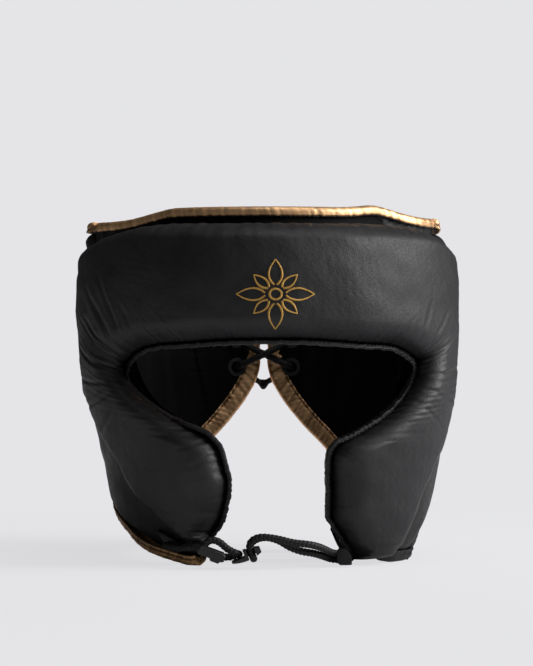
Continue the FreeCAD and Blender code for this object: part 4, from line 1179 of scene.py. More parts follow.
# ------------------------------------------------------------------ front
@dataclass
class FrontPad:
    """Brow and cheek pads under one leather cover, their rim and stitches, and the gold rosette."""

    base: float = 4.6
    top: float = 32.0
    pad_top: float = 208.0
    rim: float = 3.0
    rim_top: float = 21.0
    rosette_middle: tuple[float, float] = (0.6, 165.0)
    rosette_reach: tuple[float, float] = (23.0, 20.5)

    def edges(self) -> tuple[Edge, Edge]:
        """Inner boundary round the face and outer boundary round the pad, from the right tip to the left."""
        face, right, left = View.FRONT, View.RIGHT, View.LEFT
        pairs = [
            ((-47.5, 13.4), (right, -83.0, 14.3)), ((-40.7, 15.2), (right, -78.0, 17.4)),
            ((-34.7, 18.8), (right, -73.0, 21.2)), ((-28.8, 27.7), (right, -64.5, 29.5)),
            ((-25.9, 39.5), (right, -56.5, 39.0)), ((-24.6, 51.4), (right, -49.5, 49.5)),
            ((-26.4, 60.2), (right, -44.5, 58.5)), ((-30.6, 74.0), (right, -37.5, 74.5)),
            ((-39.5, 82.8), (right, -33.0, 88.5)), ((-49.7, 87.0), (right, -29.2, 101.5)),
            ((-68.0, 94.4), (right, -24.0, 119.5)), ((-84.5, 106.0), (right, -18.6, 143.0)),
            ((-89.0, 116.0), (right, -15.6, 167.0)), ((-84.5, 124.5), (right, -14.6, 190.0)),
            ((-73.5, 131.0), (right, -17.0, 194.5)), ((-55.0, 132.8), (View.TURN, -60.0, self.pad_top - 4.5)),
            ((-36.0, 134.2), (View.TURN, -41.0, self.pad_top)),
            ((-18.0, 135.0), (View.TURN, -20.5, self.pad_top)),
            ((0.0, 135.2), (View.TURN, 0.0, self.pad_top)), ((18.0, 135.0), (View.TURN, 20.5, self.pad_top)),
            ((36.0, 134.0), (View.TURN, 41.0, self.pad_top)),
            ((55.0, 132.5), (View.TURN, 60.0, self.pad_top - 2.5)),
            ((73.0, 131.2), (left, -17.0, 196.5)), ((84.0, 126.0), (left, -14.6, 190.0)),
            ((89.0, 120.0), (left, -15.6, 167.0)), ((86.5, 112.5), (left, -18.6, 143.0)),
            ((80.8, 104.3), (left, -23.0, 123.0)), ((68.0, 92.7), (left, -27.5, 107.0)),
            ((46.1, 80.3), (left, -32.5, 90.0)), ((38.1, 77.0), (left, -35.5, 80.0)),
            ((32.7, 69.2), (left, -38.8, 70.5)), ((32.1, 57.0), (left, -43.0, 57.0)),
            ((32.7, 42.3), (left, -46.5, 42.0)), ((32.7, 30.4), (left, -48.6, 31.0)),
            ((35.7, 24.5), (left, -50.0, 22.5)), ((41.7, 15.0), (left, -53.0, 10.4)),
            ((46.2, 9.0), (left, -58.5, 4.2)), ((50.2, 2.6), (left, -69.0, 1.8)),
        ]
        inner = tuple((face, *place) for place, _ in pairs)
        outer = tuple(place for _, place in pairs)
        return Edge(inner), Edge(outer)

    def creases(self) -> list[Crease]:
        """Folds that fan out from the two eye corners and cross the cheeks."""
        right = [
            Crease(((-90.0, 120.0), (-98.0, 133.0), (-108.0, 152.0)), 0.95, 1.9),
            Crease(((-91.0, 125.0), (-97.0, 146.0), (-108.0, 172.0)), 1.15, 2.4),
            Crease(((-86.0, 127.0), (-92.0, 150.0), (-101.0, 178.0)), 0.75, 2.0),
            Crease(((-93.0, 117.0), (-103.0, 124.0), (-112.0, 134.0)), 0.8, 1.7),
            Crease(((-94.0, 112.0), (-104.0, 112.0), (-113.0, 116.0)), 0.65, 1.6),
            Crease(((-92.0, 107.0), (-101.0, 100.0), (-109.0, 97.0)), 0.6, 1.8),
            Crease(((-88.0, 103.0), (-94.0, 91.0), (-100.0, 80.0)), 0.5, 2.0),
            Crease(((-96.0, 131.0), (-104.0, 139.0), (-113.0, 158.0)), 0.55, 1.4),
            Crease(((-80.0, 132.0), (-84.0, 148.0), (-90.0, 163.0)), 0.45, 1.9),
            Crease(((-72.0, 133.0), (-75.0, 143.0), (-79.0, 152.0)), 0.32, 1.5),
            Crease(((-104.0, 76.0), (-96.0, 60.0), (-84.0, 44.0)), 0.55, 2.6),
            Crease(((-99.0, 66.0), (-88.0, 45.0), (-72.0, 27.0)), 0.6, 2.4),
            Crease(((-41.0, 79.0), (-50.0, 74.0), (-58.0, 72.0)), 0.5, 1.5),
            Crease(((-34.0, 73.0), (-42.0, 66.0), (-49.0, 60.0)), 0.45, 1.5),
        ]
        left = [
            Crease(((91.0, 122.0), (100.0, 130.0), (110.0, 141.0)), 0.85, 1.8),
            Crease(((90.0, 127.0), (98.0, 142.0), (106.0, 158.0)), 0.7, 2.1),
            Crease(((92.0, 116.0), (102.0, 117.0), (113.0, 122.0)), 0.7, 1.7),
            Crease(((89.0, 109.0), (99.0, 103.0), (109.0, 101.0)), 0.65, 1.8),
            Crease(((84.0, 129.0), (90.0, 146.0), (95.0, 166.0)), 0.5, 2.2),
            Crease(((74.0, 132.5), (78.0, 143.0), (82.0, 151.0)), 0.35, 1.6),
            Crease(((84.0, 104.0), (92.0, 92.0), (99.0, 84.0)), 0.5, 1.9),
            Crease(((37.0, 75.0), (46.0, 68.0), (53.0, 62.0)), 0.6, 1.5),
            Crease(((34.0, 66.0), (43.0, 60.0), (49.0, 54.0)), 0.5, 1.4),
            Crease(((33.5, 40.0), (41.0, 37.0), (48.0, 38.0)), 0.5, 1.4),
            Crease(((34.0, 29.0), (42.0, 25.0), (50.0, 25.0)), 0.5, 1.5),
            Crease(((99.0, 70.0), (94.0, 50.0), (86.0, 33.0)), 0.55, 2.4),
        ]
        return right + left

    def build(self) -> None:
        """Makes the pad, its rim, its stitches and the rosette."""
        inner, outer = self.edges()
        filling = Filling(self.base, self.top, 2.8, 13.0)
        pad = Strip("front_pad", inner, outer, filling, Roll(14.0, self.rim, 14.0), Roll(10.0, 0.0, 30.0),
                    960,
                    (28, 66, 20, 4), wedge=70.0, front_on=True)
        eye_corners = ((0.335, 0.055, 0.9), (0.665, 0.055, 0.8), (0.17, 0.06, 0.4), (0.83, 0.06, 0.5))
        folds = pucker_field(pad, Pucker(0.30, 7.0, 6.5, 11, eye_corners), True)
        folds = folds + pucker_field(pad, Pucker(0.22, 9.0, 6.0, 12), False)
        lumps = sum(size * waves(pad.flat, pitch, seed)
                    for size, pitch, seed in ((0.42, 46.0, 3), (0.16, 17.0, 4), (0.045, 5.0, 5)))
        full = smooth(0.05, 0.9, pad.rise)
        right_temple, left_jaw = Bulge(-1.30, 165.0, 0.42, 52.0, 3.4), Bulge(1.20, 88.0, 0.36, 46.0, 4.6)
        right_jaw = Bulge(-1.20, 96.0, 0.36, 34.0, 3.2)
        full = full * sum(bulge.on(pad) for bulge in (right_temple, left_jaw, right_jaw))
        pad.displace(folds + fold_field(pad, self.creases()) + lumps * smooth(0.2, 0.9, pad.rise) + full)
        cover = dress(pad.object(), "cover", "shell",
                      ("front_cover", "forehead_foam", "cheek_foam_right", "cheek_foam_left"))
        self._seam(inner, outer)
        self._rosette(cover)

    def _seam(self, inner: Edge, outer: Edge) -> None:
        """Raised leather rim round the face, with its stitches."""
        last = len(inner.places) - 1
        at = np.linspace(0.25, last - 0.25, 2600)
        along = path_length(inner.line(at, 9.0))
        step = 0.75
        at = np.interp(np.arange(0, along[-1], step), along, at)

        def line(inset: Array, level: float) -> Array:
            turn, height = inner.on_wall(at, np.full(at.shape, level))
            low, high = FORM.point(turn, height, level), outer.line(at, level)
            tangent = np.gradient(low, axis=0)
            away = np.cross(tangent, FORM.normal(turn, height, level))
            away *= np.sign(np.sum(away * (high - low), axis=1).sum())
            away = unit(away)
            square = np.abs(away[:, 0] * tangent[:, 2] - away[:, 2] * tangent[:, 0])
            seen = np.clip(square / np.hypot(tangent[:, 0], tangent[:, 2]), 0.34, 1.0)
            return low + away / seen[:, None] * np.asarray(inset)[..., None]

        travelled = np.arange(len(at)) * step
        pull = ripple(travelled, 3.0, 21) * 0.16 + ripple(travelled, 11.0, 22) * 0.22
        width, top = self.rim - 0.3, self.rim_top
        section = [(0.0, 4.2), (-0.1, top - 1.6), (0.25, top - 0.6), (0.9, top - 0.1),
                   (width * 0.5, top - 0.25),
                   (width - 0.7, top - 0.1), (width, top - 0.8), (width + 0.1, 6.0)]
        points = np.stack([line(inset + pull * (inset < width - 0.5), level) for inset, level in section], 1)
        rows, columns = points.shape[:2]
        piece = write_mesh("face_rim", points, grid_quads(rows, columns, False, True),
                           end_rings(rows, columns))
        soften(piece, 0.0003, 2, 30)
        dress(piece, "cover", "shell")
        seam = line(width - 0.5 + pull, top + 0.1)
        face = line(width - 0.5 + pull, top + 1.3) - seam
        dress(thread_row("face_stitches", seam, face, RIM_STITCH), "black_thread", "shell")

    def _rosette(self, cover: bpy.types.Object) -> None:
        """Embroidered eight-petal rosette: satin threads across the outline of each petal."""
        tree = BVHTree.FromObject(cover, bpy.context.evaluated_depsgraph_get())
        starts, ends = [], []
        wide, tall = self.rosette_reach
        for petal in range(8):
            heading = math.radians(45.0 * petal + 90.0)
            long = 1.0 if petal % 2 == 0 else 0.72
            share = np.linspace(0.05, 0.99, 40)
            girth = 0.19 * np.sin(np.pi * share ** 0.85) ** 0.8 * long
            for flank in (-1, 1):
                for step, half in zip(share, girth):
                    along = 0.24 + step * 0.76 * long
                    inside, outside = flank * max(half - 0.045, 0.0), flank * (half + 0.012)
                    pair = []
                    for across, shift in ((inside, 0.018), (outside, -0.018)):
                        reach = along + shift
                        pair.append((wide * (reach * math.cos(heading) - across * math.sin(heading)),
                                     tall * (reach * math.sin(heading) + across * math.cos(heading))))
                    starts.append(pair[0])
                    ends.append(pair[1])
        for step in range(44):
            heading = 2 * math.pi * step / 44
            starts.append((wide * 0.12 * math.cos(heading), tall * 0.12 * math.sin(heading)))
            ends.append((wide * 0.19 * math.cos(heading + 0.12), tall * 0.19 * math.sin(heading + 0.12)))
        flat = np.array(starts + ends) + np.array(self.rosette_middle)
        hits = [tree.ray_cast(Vector((x * MM, -0.3, z * MM)), Vector((0, 1, 0))) for x, z in flat]
        place = np.array([hit[0] for hit in hits]) / MM
        normal = np.array([hit[1] for hit in hits])
        count = len(starts)
        low, high = place[:count], place[count:]
        up = unit(normal[:count] + normal[count:])
        half = (high - low) / 2
        across = unit(np.cross(half, up))
        piece = spindles("brow_rosette", (low + high) / 2 + up * 0.22, half, up * 0.42, across * 0.36)
        dress(piece, "gold_thread", "shell")


def top_height(along: Array) -> Array:
    """Height of the top edge above a depth of the head: high at the brow, with a dip at each temple."""
    knots = np.array([(-130.0, 217.3), (-95.0, 217.3), (-66.0, 217.5), (-56.0, 217.0), (-48.0, 215.0),
                      (-39.0, 212.0),
                      (-30.0, 210.5), (-18.0, 210.2), (8.0, 210.8), (60.0, 210.8), (130.0, 210.8)])
    line = curve_through(knots, np.linspace(0, len(knots) - 1, 400))
    return np.interp(along, line[:, 0], line[:, 1])


@dataclass
class FrontLining:
    """Base panel of the front: it stands above the brow pad, is bound with gold and lines both cheeks."""

    depth: float = 4.0
    binding_cover: float = 4.6
    spread: float = 1.2
    left_lift: float = 2.8
    quilt_seams: tuple[float, float] = (172.0, 148.0)
    rim_height: float = 212.0
    rim_depth: float = 2.0
    temple_step: float = 17.0
    temple_turns: tuple[float, float] = (48.0, 80.0)
    last_turn: float = 88.0

    def build(self) -> None:
        """Makes the lining and its top binding."""
        inner, outer = FrontPad().edges()
        places = []
        for view, place, height in outer.places:
            if view is View.TURN or height > 200.0:
                turn = place if view is View.TURN else (-75.0 if view is View.RIGHT else 75.0)
                along = float(FORM.point(math.radians(turn), self.rim_height, self.rim_depth)[1])
                places.append((View.TURN, turn, float(top_height(along))))
            else:
                places.append((view, place, height))
        rim = Edge(tuple(places))
        lining = Strip("front_lining", inner, rim, Filling(self.depth, 0.2, 0.5, 3.0), Roll(2.2, 0.0, 10.0),
                       Roll(2.0, 0.0, 10.0), 520, (6, 44, 6, 3), (0.04, 0.96), 70.0)
        folds = pucker_field(lining, Pucker(0.32, 8.0, 9.0, 31), True)
        quilt = sum(-0.7 * np.exp(-((lining.height - seam) / 1.6) ** 2) for seam in self.quilt_seams)
        lining.displace(folds + (quilt + 0.2 * waves(lining.flat, 20.0, 33)) * (lining.rise > 0.9))
        nodes = ("brow_lining", "cheek_lining_right", "cheek_lining_left")
        dress(lining.object(), "lining", "shell", nodes)

        turns = np.radians(np.linspace(-self.last_turn, self.last_turn, 600))
        out = smooth(*np.radians(self.temple_turns), np.abs(turns))
        path = FORM.point(turns, self.rim_height, self.rim_depth + self.temple_step * out)
        lift = self.left_lift * smooth(-75.0, -50.0, path[:, 1]) * (path[:, 0] > 0)
        path[:, 2] = top_height(path[:, 1]) + lift
        path = even_points(path, 0.8)
        self._gussets(path)
        face = unit(np.column_stack([path[:, 0], path[:, 1] - FORM.middle, np.zeros(len(path))]))
        off = way_off(path, face)
        off *= np.sign(off[:, 2:3])
        band = Band("brow_binding", path, face, off, 3.2, self.binding_cover, 41, lip=self.spread,
                    thread=1.06)
        dress(band.object(), "binding", "shell", ("top_binding_front",))
        row = thread_row("brow_binding_stitches", band.seam_line(1), face, BROW_STITCH)
        dress(row, "black_thread", "shell")

    def _gussets(self, rim: Array) -> None:
        """Leather that joins the base panel to each side panel under the binding, at the temples."""
        for side in Side:
            part = rim[(rim[:, 0] * side.value > 55.0) & (rim[:, 1] < 6.0)]
            down = np.linspace(0.5, -15.0, 16)
            drop = np.concatenate([down, np.linspace(-15.0, 0.5, 16)])
            skin = np.repeat([1.1, -1.1], 16)
            out = unit((part - np.array([0.0, FORM.middle, 0.0])) * np.array([1.0, 1.0, 0.0]))
            points = part[:, None] + out[:, None] * skin[None, :, None]
            points = points + np.array([0.0, 0.0, 1.0]) * drop[None, :, None]
            points = points + out[:, None] * (0.35 * waves(points, 7.0, 44))[..., None]
            rows, columns = points.shape[:2]
            quads = grid_quads(rows, columns, False, True)
            piece = write_mesh(f"temple_gusset_{side.word}", points, quads, end_rings(rows, columns))
            dress(piece, "panel", "shell")


# ------------------------------------------------------------------ sides
EAR = (12.0, 128.0)
EAR_PAD_POWER = 3.4


@dataclass
class SidePanel:
    """Padded side with its lining, ear ring, inner ear pad and bound edges."""

    side: Side
    ear_radius: float = 18.0
    inner: float = 15.0
    outer: float = 26.0

    def outline(self) -> list[tuple[View, float, float, float]]:
        """View, place, height and matching angle on the ear hole, once round from the front."""
        seen = SIDE_VIEW[self.side]
        front = [(-33.0, 88.0, -2), (-25.7, 113.0, 10), (-20.5, 135.0, 22), (-15.7, 158.0, 38),
                 (-14.4, 180.0, 55),
                 (-14.2, 197.0, 66), (-14.0, 208.9, 73), (-14.0, 209.2, 74), (-3.0, 210.0, 81),
                 (8.0, 210.8, 88),
                 (26.0, 210.8, 100), (44.0, 210.8, 111), (44.7, 210.5, 112), (44.7, 185.0, 122),
                 (44.7, 160.0, 138),
                 (44.7, 128.0, 180), (44.7, 100.0, 218), (44.7, 70.0, 238), (44.7, 36.0, 250),
                 (44.3, 34.4, 251)]
        if self.side is Side.RIGHT:
            low = [(33.5, 33.1, 257), (22.0, 31.3, 264), (0.0, 25.8, 276), (-20.0, 18.8, 286),
                   (-40.0, 10.8, 296)]
            end = [(-57.0, 3.9, 305), (-47.0, 1.7, 312), (-40.4, 2.6, 315), (-40.2, 10.0, 319),
                   (-42.0, 19.0, 324)]
            rise = [(-62.0, 33.0, 331), (-53.3, 43.5, 338), (-40.4, 66.1, 348)]
        else:
            low = [(33.5, 33.1, 258), (22.0, 31.3, 265), (5.0, 24.3, 275), (-8.0, 16.3, 283),
                   (-22.0, 7.3, 292)]
            end = [(83.5, 1.6, 299), (74.0, 1.2, 305), (68.6, 3.0, 310), (68.2, 12.0, 316), (68.6, 22.0, 322)]
            rise = [(-47.3, 37.0, 330), (-43.8, 52.0, 340), (-40.7, 64.0, 347)]
        places = [(seen, *place) for place in front + low]
        return places + [(View.FRONT, *place) for place in end] + [(seen, *place) for place in rise]

    def _ring(self, radius: float, degrees: Sequence[float]) -> Edge:
        """Circle round the ear hole through places at the angles given."""
        view = SIDE_VIEW[self.side]
        angles = np.radians(degrees)
        return Edge(tuple((view, EAR[0] - radius * math.cos(a), EAR[1] + radius * math.sin(a))
                          for a in angles), True)

    def build(self) -> None:
        """Makes every piece of the side."""
        word, view = self.side.word, SIDE_VIEW[self.side]
        rim = Edge(tuple(place[:3] for place in self.outline()), True)
        hole = self._ring(self.ear_radius + 0.4, [place[3] for place in self.outline()])
        mark = 50 if self.side is Side.RIGHT else 70
        pad = Strip(f"side_pad_{word}", hole, rim, Filling(17.2, self.outer, 1.2),
                    Roll(7.0, 0.0, 20.0), Roll(8.0, 5.0, 8.0), 420, (10, 64, 10, 4))
        folds = pucker_field(pad, Pucker(0.34, 8.5, 9.0, mark), False)
        folds = folds + pucker_field(pad, Pucker(0.25, 6.0, 7.0, mark + 1), True)
        lumps = 0.4 * waves(pad.flat, 34.0, mark + 2) + 0.12 * waves(pad.flat, 11.0, mark + 3)
        pad.displace(folds + lumps * (pad.rise > 0.9))
        dress(pad.object(), "panel", "shell", (f"side_panel_{word}", f"side_foam_{word}"))
        lining = Strip(f"side_lining_pad_{word}", hole, rim, Filling(16.8, self.inner, 0.4),
                       Roll(2.0, 0.0, 10.0), Roll(2.5, 5.0, 8.0), 380, (6, 56, 6, 3))
        upright = ripple(lining.turn * 110.0, 17.0, mark + 5) * 0.35 * smooth(4.0, 16.0, lining.from_outer)
        lining.displace((pucker_field(lining, Pucker(0.35, 9.0, 10.0, mark + 6), False) + upright)
                        * (lining.rise > 0.9))
        dress(lining.object(), "lining", "shell", (f"side_lining_{word}",))
        self._ear(word, view, mark)
        self._bindings(word, view, rim, mark)
        heights = np.linspace(37.0, 209.0, 420)
        seam = np.array([FORM.turn_for(view, 45.0, height, 19.4) for height in heights])
        line = even_points(FORM.point(seam, heights, 19.4), 0.5)
        bead = 1.5 * (1 + 0.05 * ripple(path_length(line), 3.2, mark + 9))
        dress(tube(f"seam_piping_{word}", line, bead, 12), "panel", "shell")

    def _ear(self, word: str, view: View, mark: int) -> None:
        """Stuffed ring round the ear hole, and the ear pad inside."""
        angles = np.arange(0, 360, 15)
        ring = Strip(f"ear_ring_pad_{word}", self._ring(self.ear_radius, angles),
                     self._ring(self.ear_radius + 11.0, angles),
                     Filling(25.4, 30.4, 0.6), Roll(5.4, 0.0, 20.0), Roll(5.4, 0.0, 20.0), 240,
                     (12, 8, 12, 4))
        ring.displace(pucker_field(ring, Pucker(0.26, 4.2, 6.0, mark + 8), False)
                      + pucker_field(ring, Pucker(0.26, 4.0, 6.0, mark + 9), True))
        dress(ring.object(), "cover", "shell", (f"ear_ring_{word}",))

        corners = []
        for angle in angles:
            way = np.array([-math.cos(math.radians(angle)), math.sin(math.radians(angle))])
            reach = (23.0 if way[0] < 0 else 28.0, 66.0)
            size = np.sum(np.abs(way / np.array(reach)) ** EAR_PAD_POWER) ** (-1 / EAR_PAD_POWER)
            corners.append((view, EAR[0] + size * way[0], EAR[1] + size * way[1]))
        liner = Strip(f"ear_liner_pad_{word}", self._ring(self.ear_radius + 2.0, angles),
                      Edge(tuple(corners), True),
                      Filling(14.6, 3.4, 1.2), Roll(5.0, 0.0, 15.0), Roll(8.0, 0.0, 20.0), 260,
                      (10, 30, 12, 4))
        liner.displace(pucker_field(liner, Pucker(0.3, 8.0, 8.0, mark + 10), False)
                       + 0.2 * waves(liner.flat, 15.0, mark + 11) * (liner.rise > 0.9))
        dress(liner.object(), "lining", "shell", (f"ear_liner_{word}",))

    def _bindings(self, word: str, view: View, rim: Edge, mark: int) -> None:
        """Gold binding of the top edge and of the jaw flap."""
        depths = (self.inner, self.outer)
        lift = 2.6 if self.side is Side.LEFT else 0.0
        brink = Edge(tuple((view, along, float(top_height(along) + lift * (1 - smooth(-10.0, 30.0, along))))
                           for along in (-13.6, -3.0, 8.0, 20.0, 32.0, 44.7)))
        top = edge_band(f"side_top_binding_{word}", brink, (0, 5), depths, 1.2, 6.0, (0, 0, 1), mark + 12,
                        4.4)
        jaw = Edge(rim.places[19:28])
        stop = 7.6 if self.side is Side.RIGHT else 2.4
        low = edge_band(f"jaw_binding_{word}", jaw, (0, stop), depths, 1.2, 6.6, (0, 0, -1), mark + 14, 5.4)
        if self.side is Side.LEFT:
            fold = edge_band("jaw_fold_left", jaw, (stop - 0.05, 7.9), depths, 0.8, 7.5, (0, 0, -1),
                             mark + 15, 2.6)
            dress(fold.object(), "panel", "shell")
        for band, node in ((top, f"top_binding_{word}"), (low, f"lower_binding_{word}")):
            dress(band.object(), "binding", "shell", (node,))
            stitch_leaves(band, "shell")


# ------------------------------------------------------------------ back wings and lacing
@dataclass
class Wing:
    """One laced wing of the back: padded cover, lining, gold binding and eyelets."""

    side: Side
    inner: float = 15.0
    outer: float = 26.0
    seam: float = 45.3
    cover: float = 10.2
    lacing_edge: float = 3.9
    quilt_seams: tuple[float, float] = (27.0, 52.0)

    def edges(self) -> tuple[Edge, Edge]:
        """Nape edge and top edge, from the lacing to the seam."""
        view, sign = SIDE_VIEW[self.side], self.side.value
        nape = [(3.3, 122.0), (5.6, 112.5), (11.2, 101.6), (20.6, 88.6), (36.0, 72.0), (56.0, 53.0),
                (80.0, 38.4)]
        top = [self.lacing_edge, 15.0, 28.0, 44.0, 60.0, 77.0, 92.0]
        low = [(View.BACK, sign * across, height) for across, height in nape] + [(view, self.seam, 34.2)]
        high = [(View.BACK, sign * across, 210.8) for across in top] + [(view, self.seam, 210.8)]
        return Edge(tuple(low)), Edge(tuple(high))

    def build(self) -> None:
        """Makes every piece of the wing."""
        word, body = self.side.word, f"wing_{self.side.word}"
        low, high = self.edges()
        mark = 90 if self.side is Side.RIGHT else 110
        pad = Strip(f"wing_pad_{word}", low, high, Filling(17.2, self.outer, 1.4, 8.0, (9.6, 0.4)),
                    Roll(8.0, 9.4, 8.0),
                    Roll(8.0, 9.4, 8.0), 300, (10, 110, 10, 4))
        folds = pucker_field(pad, Pucker(0.34, 9.0, 9.0, mark), True)
        folds = folds + pucker_field(pad, Pucker(0.34, 9.0, 9.0, mark + 1), False)
        laced = 0.5 * ripple(pad.height, 9.5, mark + 2) * np.exp(-np.abs(pad.along - 14.0) / 9.0)
        lumps = 0.45 * waves(pad.flat, 36.0, mark + 3) + 0.12 * waves(pad.flat, 12.0, mark + 4)
        pad.displace((folds + laced + lumps) * smooth(0.3, 0.95, pad.rise))
        dress(pad.object(), "panel", body, (f"wing_cover_{word}", f"wing_foam_{word}"))
        lining = Strip(f"wing_lining_pad_{word}", low, high, Filling(16.8, self.inner, 0.5, 3.0, (9.8, 0.4)),
                       Roll(2.5, 9.6, 8.0), Roll(2.5, 9.6, 8.0), 360, (6, 90, 6, 3))
        across = lining.along
        slant = across + 0.10 * lining.height
        upright = 0.34 * ripple(slant, 19.0, mark + 5) * smooth(2.0, 18.0, lining.from_inner)
        ribs = sum(-1.1 * np.exp(-((across - place) / 1.3) ** 2) for place in self.quilt_seams)
        near = sum(np.exp(-np.abs(across - place) / 4.0) for place in self.quilt_seams)
        stitched = 0.3 * ripple(lining.height, 4.5, mark + 7) * near
        folds = pucker_field(lining, Pucker(0.4, 7.0, 8.0, mark + 6), True)
        ends = pucker_field(lining, Pucker(0.3, 8.0, 8.0, mark + 8), False)
        lining.displace((upright + ribs + stitched + folds + ends) * (lining.rise > 0.9))
        dress(lining.object(), "lining", body, (f"wing_lining_{word}",))
        self._binding(word, body, low, high, mark)
        finish_node(f"lace_eyelets_{word}", "enamel", 0.0002, 2, 35)

    def _binding(self, word: str, body: str, low: Edge, high: Edge, mark: int) -> None:
        """One gold band along the nape, up the lacing edge and along the top."""
        middle = (self.inner + self.outer) / 2
        sign = self.side.value

        last = len(low.places) - 1
        at = np.linspace(0.0, last, 400)
        nape, top = low.line(at[::-1], middle), high.line(at, middle)
        heights = np.linspace(nape[-1, 2] + 0.5, top[0, 2] - 0.5, 200)
        turn = np.array([FORM.turn_for(View.BACK, sign * self.lacing_edge, height, middle)
                         for height in heights])
        upright = FORM.point(turn, heights, middle)
        path = even_points(np.vstack([nape, upright, top]), 0.8)
        for _ in range(14):
            path[1:-1] = (path[:-2] + 2 * path[1:-1] + path[2:]) / 4
        rough_turn = np.arctan2(path[:, 0], -(path[:, 1] - FORM.middle))
        face = FORM.normal(rough_turn, path[:, 2], middle)
        off = way_off(path, face)
        if off[0, 2] > 0:
            off = -off
        face = unit(np.cross(off, np.gradient(path, axis=0)))
        if face[0] @ FORM.normal(rough_turn[0], path[0, 2], middle) < 0:
            face = -face
        band = Band(f"wing_edge_binding_{word}", path, face, off, 5.8, self.cover, mark + 10, lip=1.2,
                    thread=0.86,
                    ruche=2.0)
        dress(band.object(), "binding", body, (f"wing_binding_{word}",))
        stitch_leaves(band, body)


@dataclass
class Lacing:
    """The back lace through both columns of eyelets, tied in one knot."""

    column: float = 20.2
    first: float = 118.0
    pitch: float = 19.6
    radius: float = 2.25
    inside: float = 10.55
    outside: float = 30.05
    deeper: float = 5.75
    knot: tuple[float, float, float] = (6.6, 123.2, 108.6)

    def _back(self, across: float, height: float, depth: float) -> tuple[float, float, float]:
        """Point of the back wall at a depth."""
        return tuple(FORM.point(FORM.turn_for(View.BACK, across or 1e-6, height, depth), height, depth))

    def _hole(self, sign: int, row: int, outwards: bool) -> list[tuple[float, float, float]]:
        """The two ends of a strand that passes through an eyelet."""
        height = self.first + row * self.pitch
        turn = FORM.turn_for(View.BACK, sign * self.column, height, 26.0)
        place, normal = FORM.point(turn, height, 26.0), FORM.normal(turn, height, 26.0)
        ends = [tuple(place + normal * (depth - 26.0)) for depth in (self.inside, self.outside)]
        return ends if outwards else ends[::-1]

    def _cross(self, sign: int, low: int, high: int, middle: float) -> list[tuple[float, float, float]]:
        """Three points of a strand that crosses behind the gap."""
        start, rise = self.first + low * self.pitch, (high - low) * self.pitch
        mean = (self.inside + middle) / 2
        return [self._back(sign * self.column / 2, start + rise / 4, mean),
                self._back(0.0, start + rise / 2, middle),
                self._back(-sign * self.column / 2, start + rise * 3 / 4, mean)]

    def _climb(self, sign: int, low: int, high: int) -> list[tuple[float, float, float]]:
        """The middle of a strand that climbs outside."""
        return [self._back(sign * self.column, self.first + (low + high) / 2 * self.pitch,
                           self.outside + 1.0)]

    def route(self) -> list[tuple[float, float, float]]:
        """Every control place of the lace, from the knot and back to it."""
        hole, cross, climb = self._hole, self._cross, self._climb
        across, along, height = self.knot
        points = [self.knot, (11.5, along - 1.2, 110.6)]
        points += hole(1, 0, False) + cross(1, 0, 1, self.inside)
        points += hole(-1, 1, True) + climb(-1, 1, 2) + hole(-1, 2, False) + cross(-1, 2, 3, self.inside)
        points += hole(1, 3, True) + climb(1, 3, 4) + hole(1, 4, False) + cross(1, 4, 4, self.inside - 1.5)
        points += hole(-1, 4, True) + climb(-1, 4, 3) + hole(-1, 3, False) + cross(-1, 3, 2, self.deeper)
        points += hole(1, 2, True) + climb(1, 2, 1) + hole(1, 1, False) + cross(1, 1, 0, self.deeper)
        return points + hole(-1, 0, True) + [(-11.5, along - 1.2, 110.6), (-across, along, height)]

    def build(self) -> None:
        """Makes the lace and its knot."""
        turn = np.linspace(0, 2 * math.pi, 160, endpoint=False)
        knot = np.column_stack([4.4 * np.sin(turn) + 1.5 * np.sin(2 * turn), 1.35 * -np.sin(3 * turn),
                                1.7 * np.cos(turn) - 1.5 * np.cos(2 * turn)]) + np.array([0.0, 123.2, 108.4])
        tie = dress(tube("lace_knot_tied", knot, 1.75, 14, 0.12, 7.0, True), "cord", "shell",
                    ("lace_knot",))
        route = self.route()
        line = spline_line(route, 0.42)
        lace = tube("back_lace_braid", line, self.radius, 16, 0.26, 10.0)
        dress(lace, "cord", "shell", ("back_lace",))


# ------------------------------------------------------------------ chin closure
STRAP_ROUTE = [(-65.3, -69.9, 12.9), (-61.0, -74.4, 11.8), (-55.5, -80.0, 11.7), (-50.0, -86.3, 12.6),
               (-45.6, -90.5, 12.7), (-42.7, -90.5, 11.7)]
LOOP_ROUTE = [(-42.2, -97.3, 11.6), (-40.6, -97.3, 16.6), (-36.0, -97.3, 18.2), (-31.6, -97.3, 16.4),
              (-27.4, -97.3, 12.2), (-20.37, -97.3, 9.06), (-20.37, -89.7, 9.06), (-27.6, -89.7, 6.2),
              (-32.6, -89.7, 8.0)]
CHIN_ROUTE = [(40.4, -79.8, 8.2), (36.8, -79.8, 8.2), (32.8, -86.0, 10.6), (28.0, -91.4, 13.2),
              (21.5, -95.0, 15.0),
              (12.0, -96.3, 15.9), (4.0, -96.8, 18.2), (-4.4, -97.1, 19.6), (-10.9, -97.3, 18.2),
              (-14.74, -97.3, 14.08), (-11.61, -97.3, 6.34), (-11.61, -89.7, 6.34), (-14.74, -89.7, 14.08),
              (-11.0, -89.7, 18.3), (-4.6, -89.9, 19.2), (3.6, -90.6, 17.2), (10.2, -90.9, 12.8),
              (17.4, -90.4, 10.2), (24.6, -88.2, 9.1), (31.2, -81.8, 6.6), (36.4, -75.4, 4.2),
              (40.4, -75.4, 4.2)]


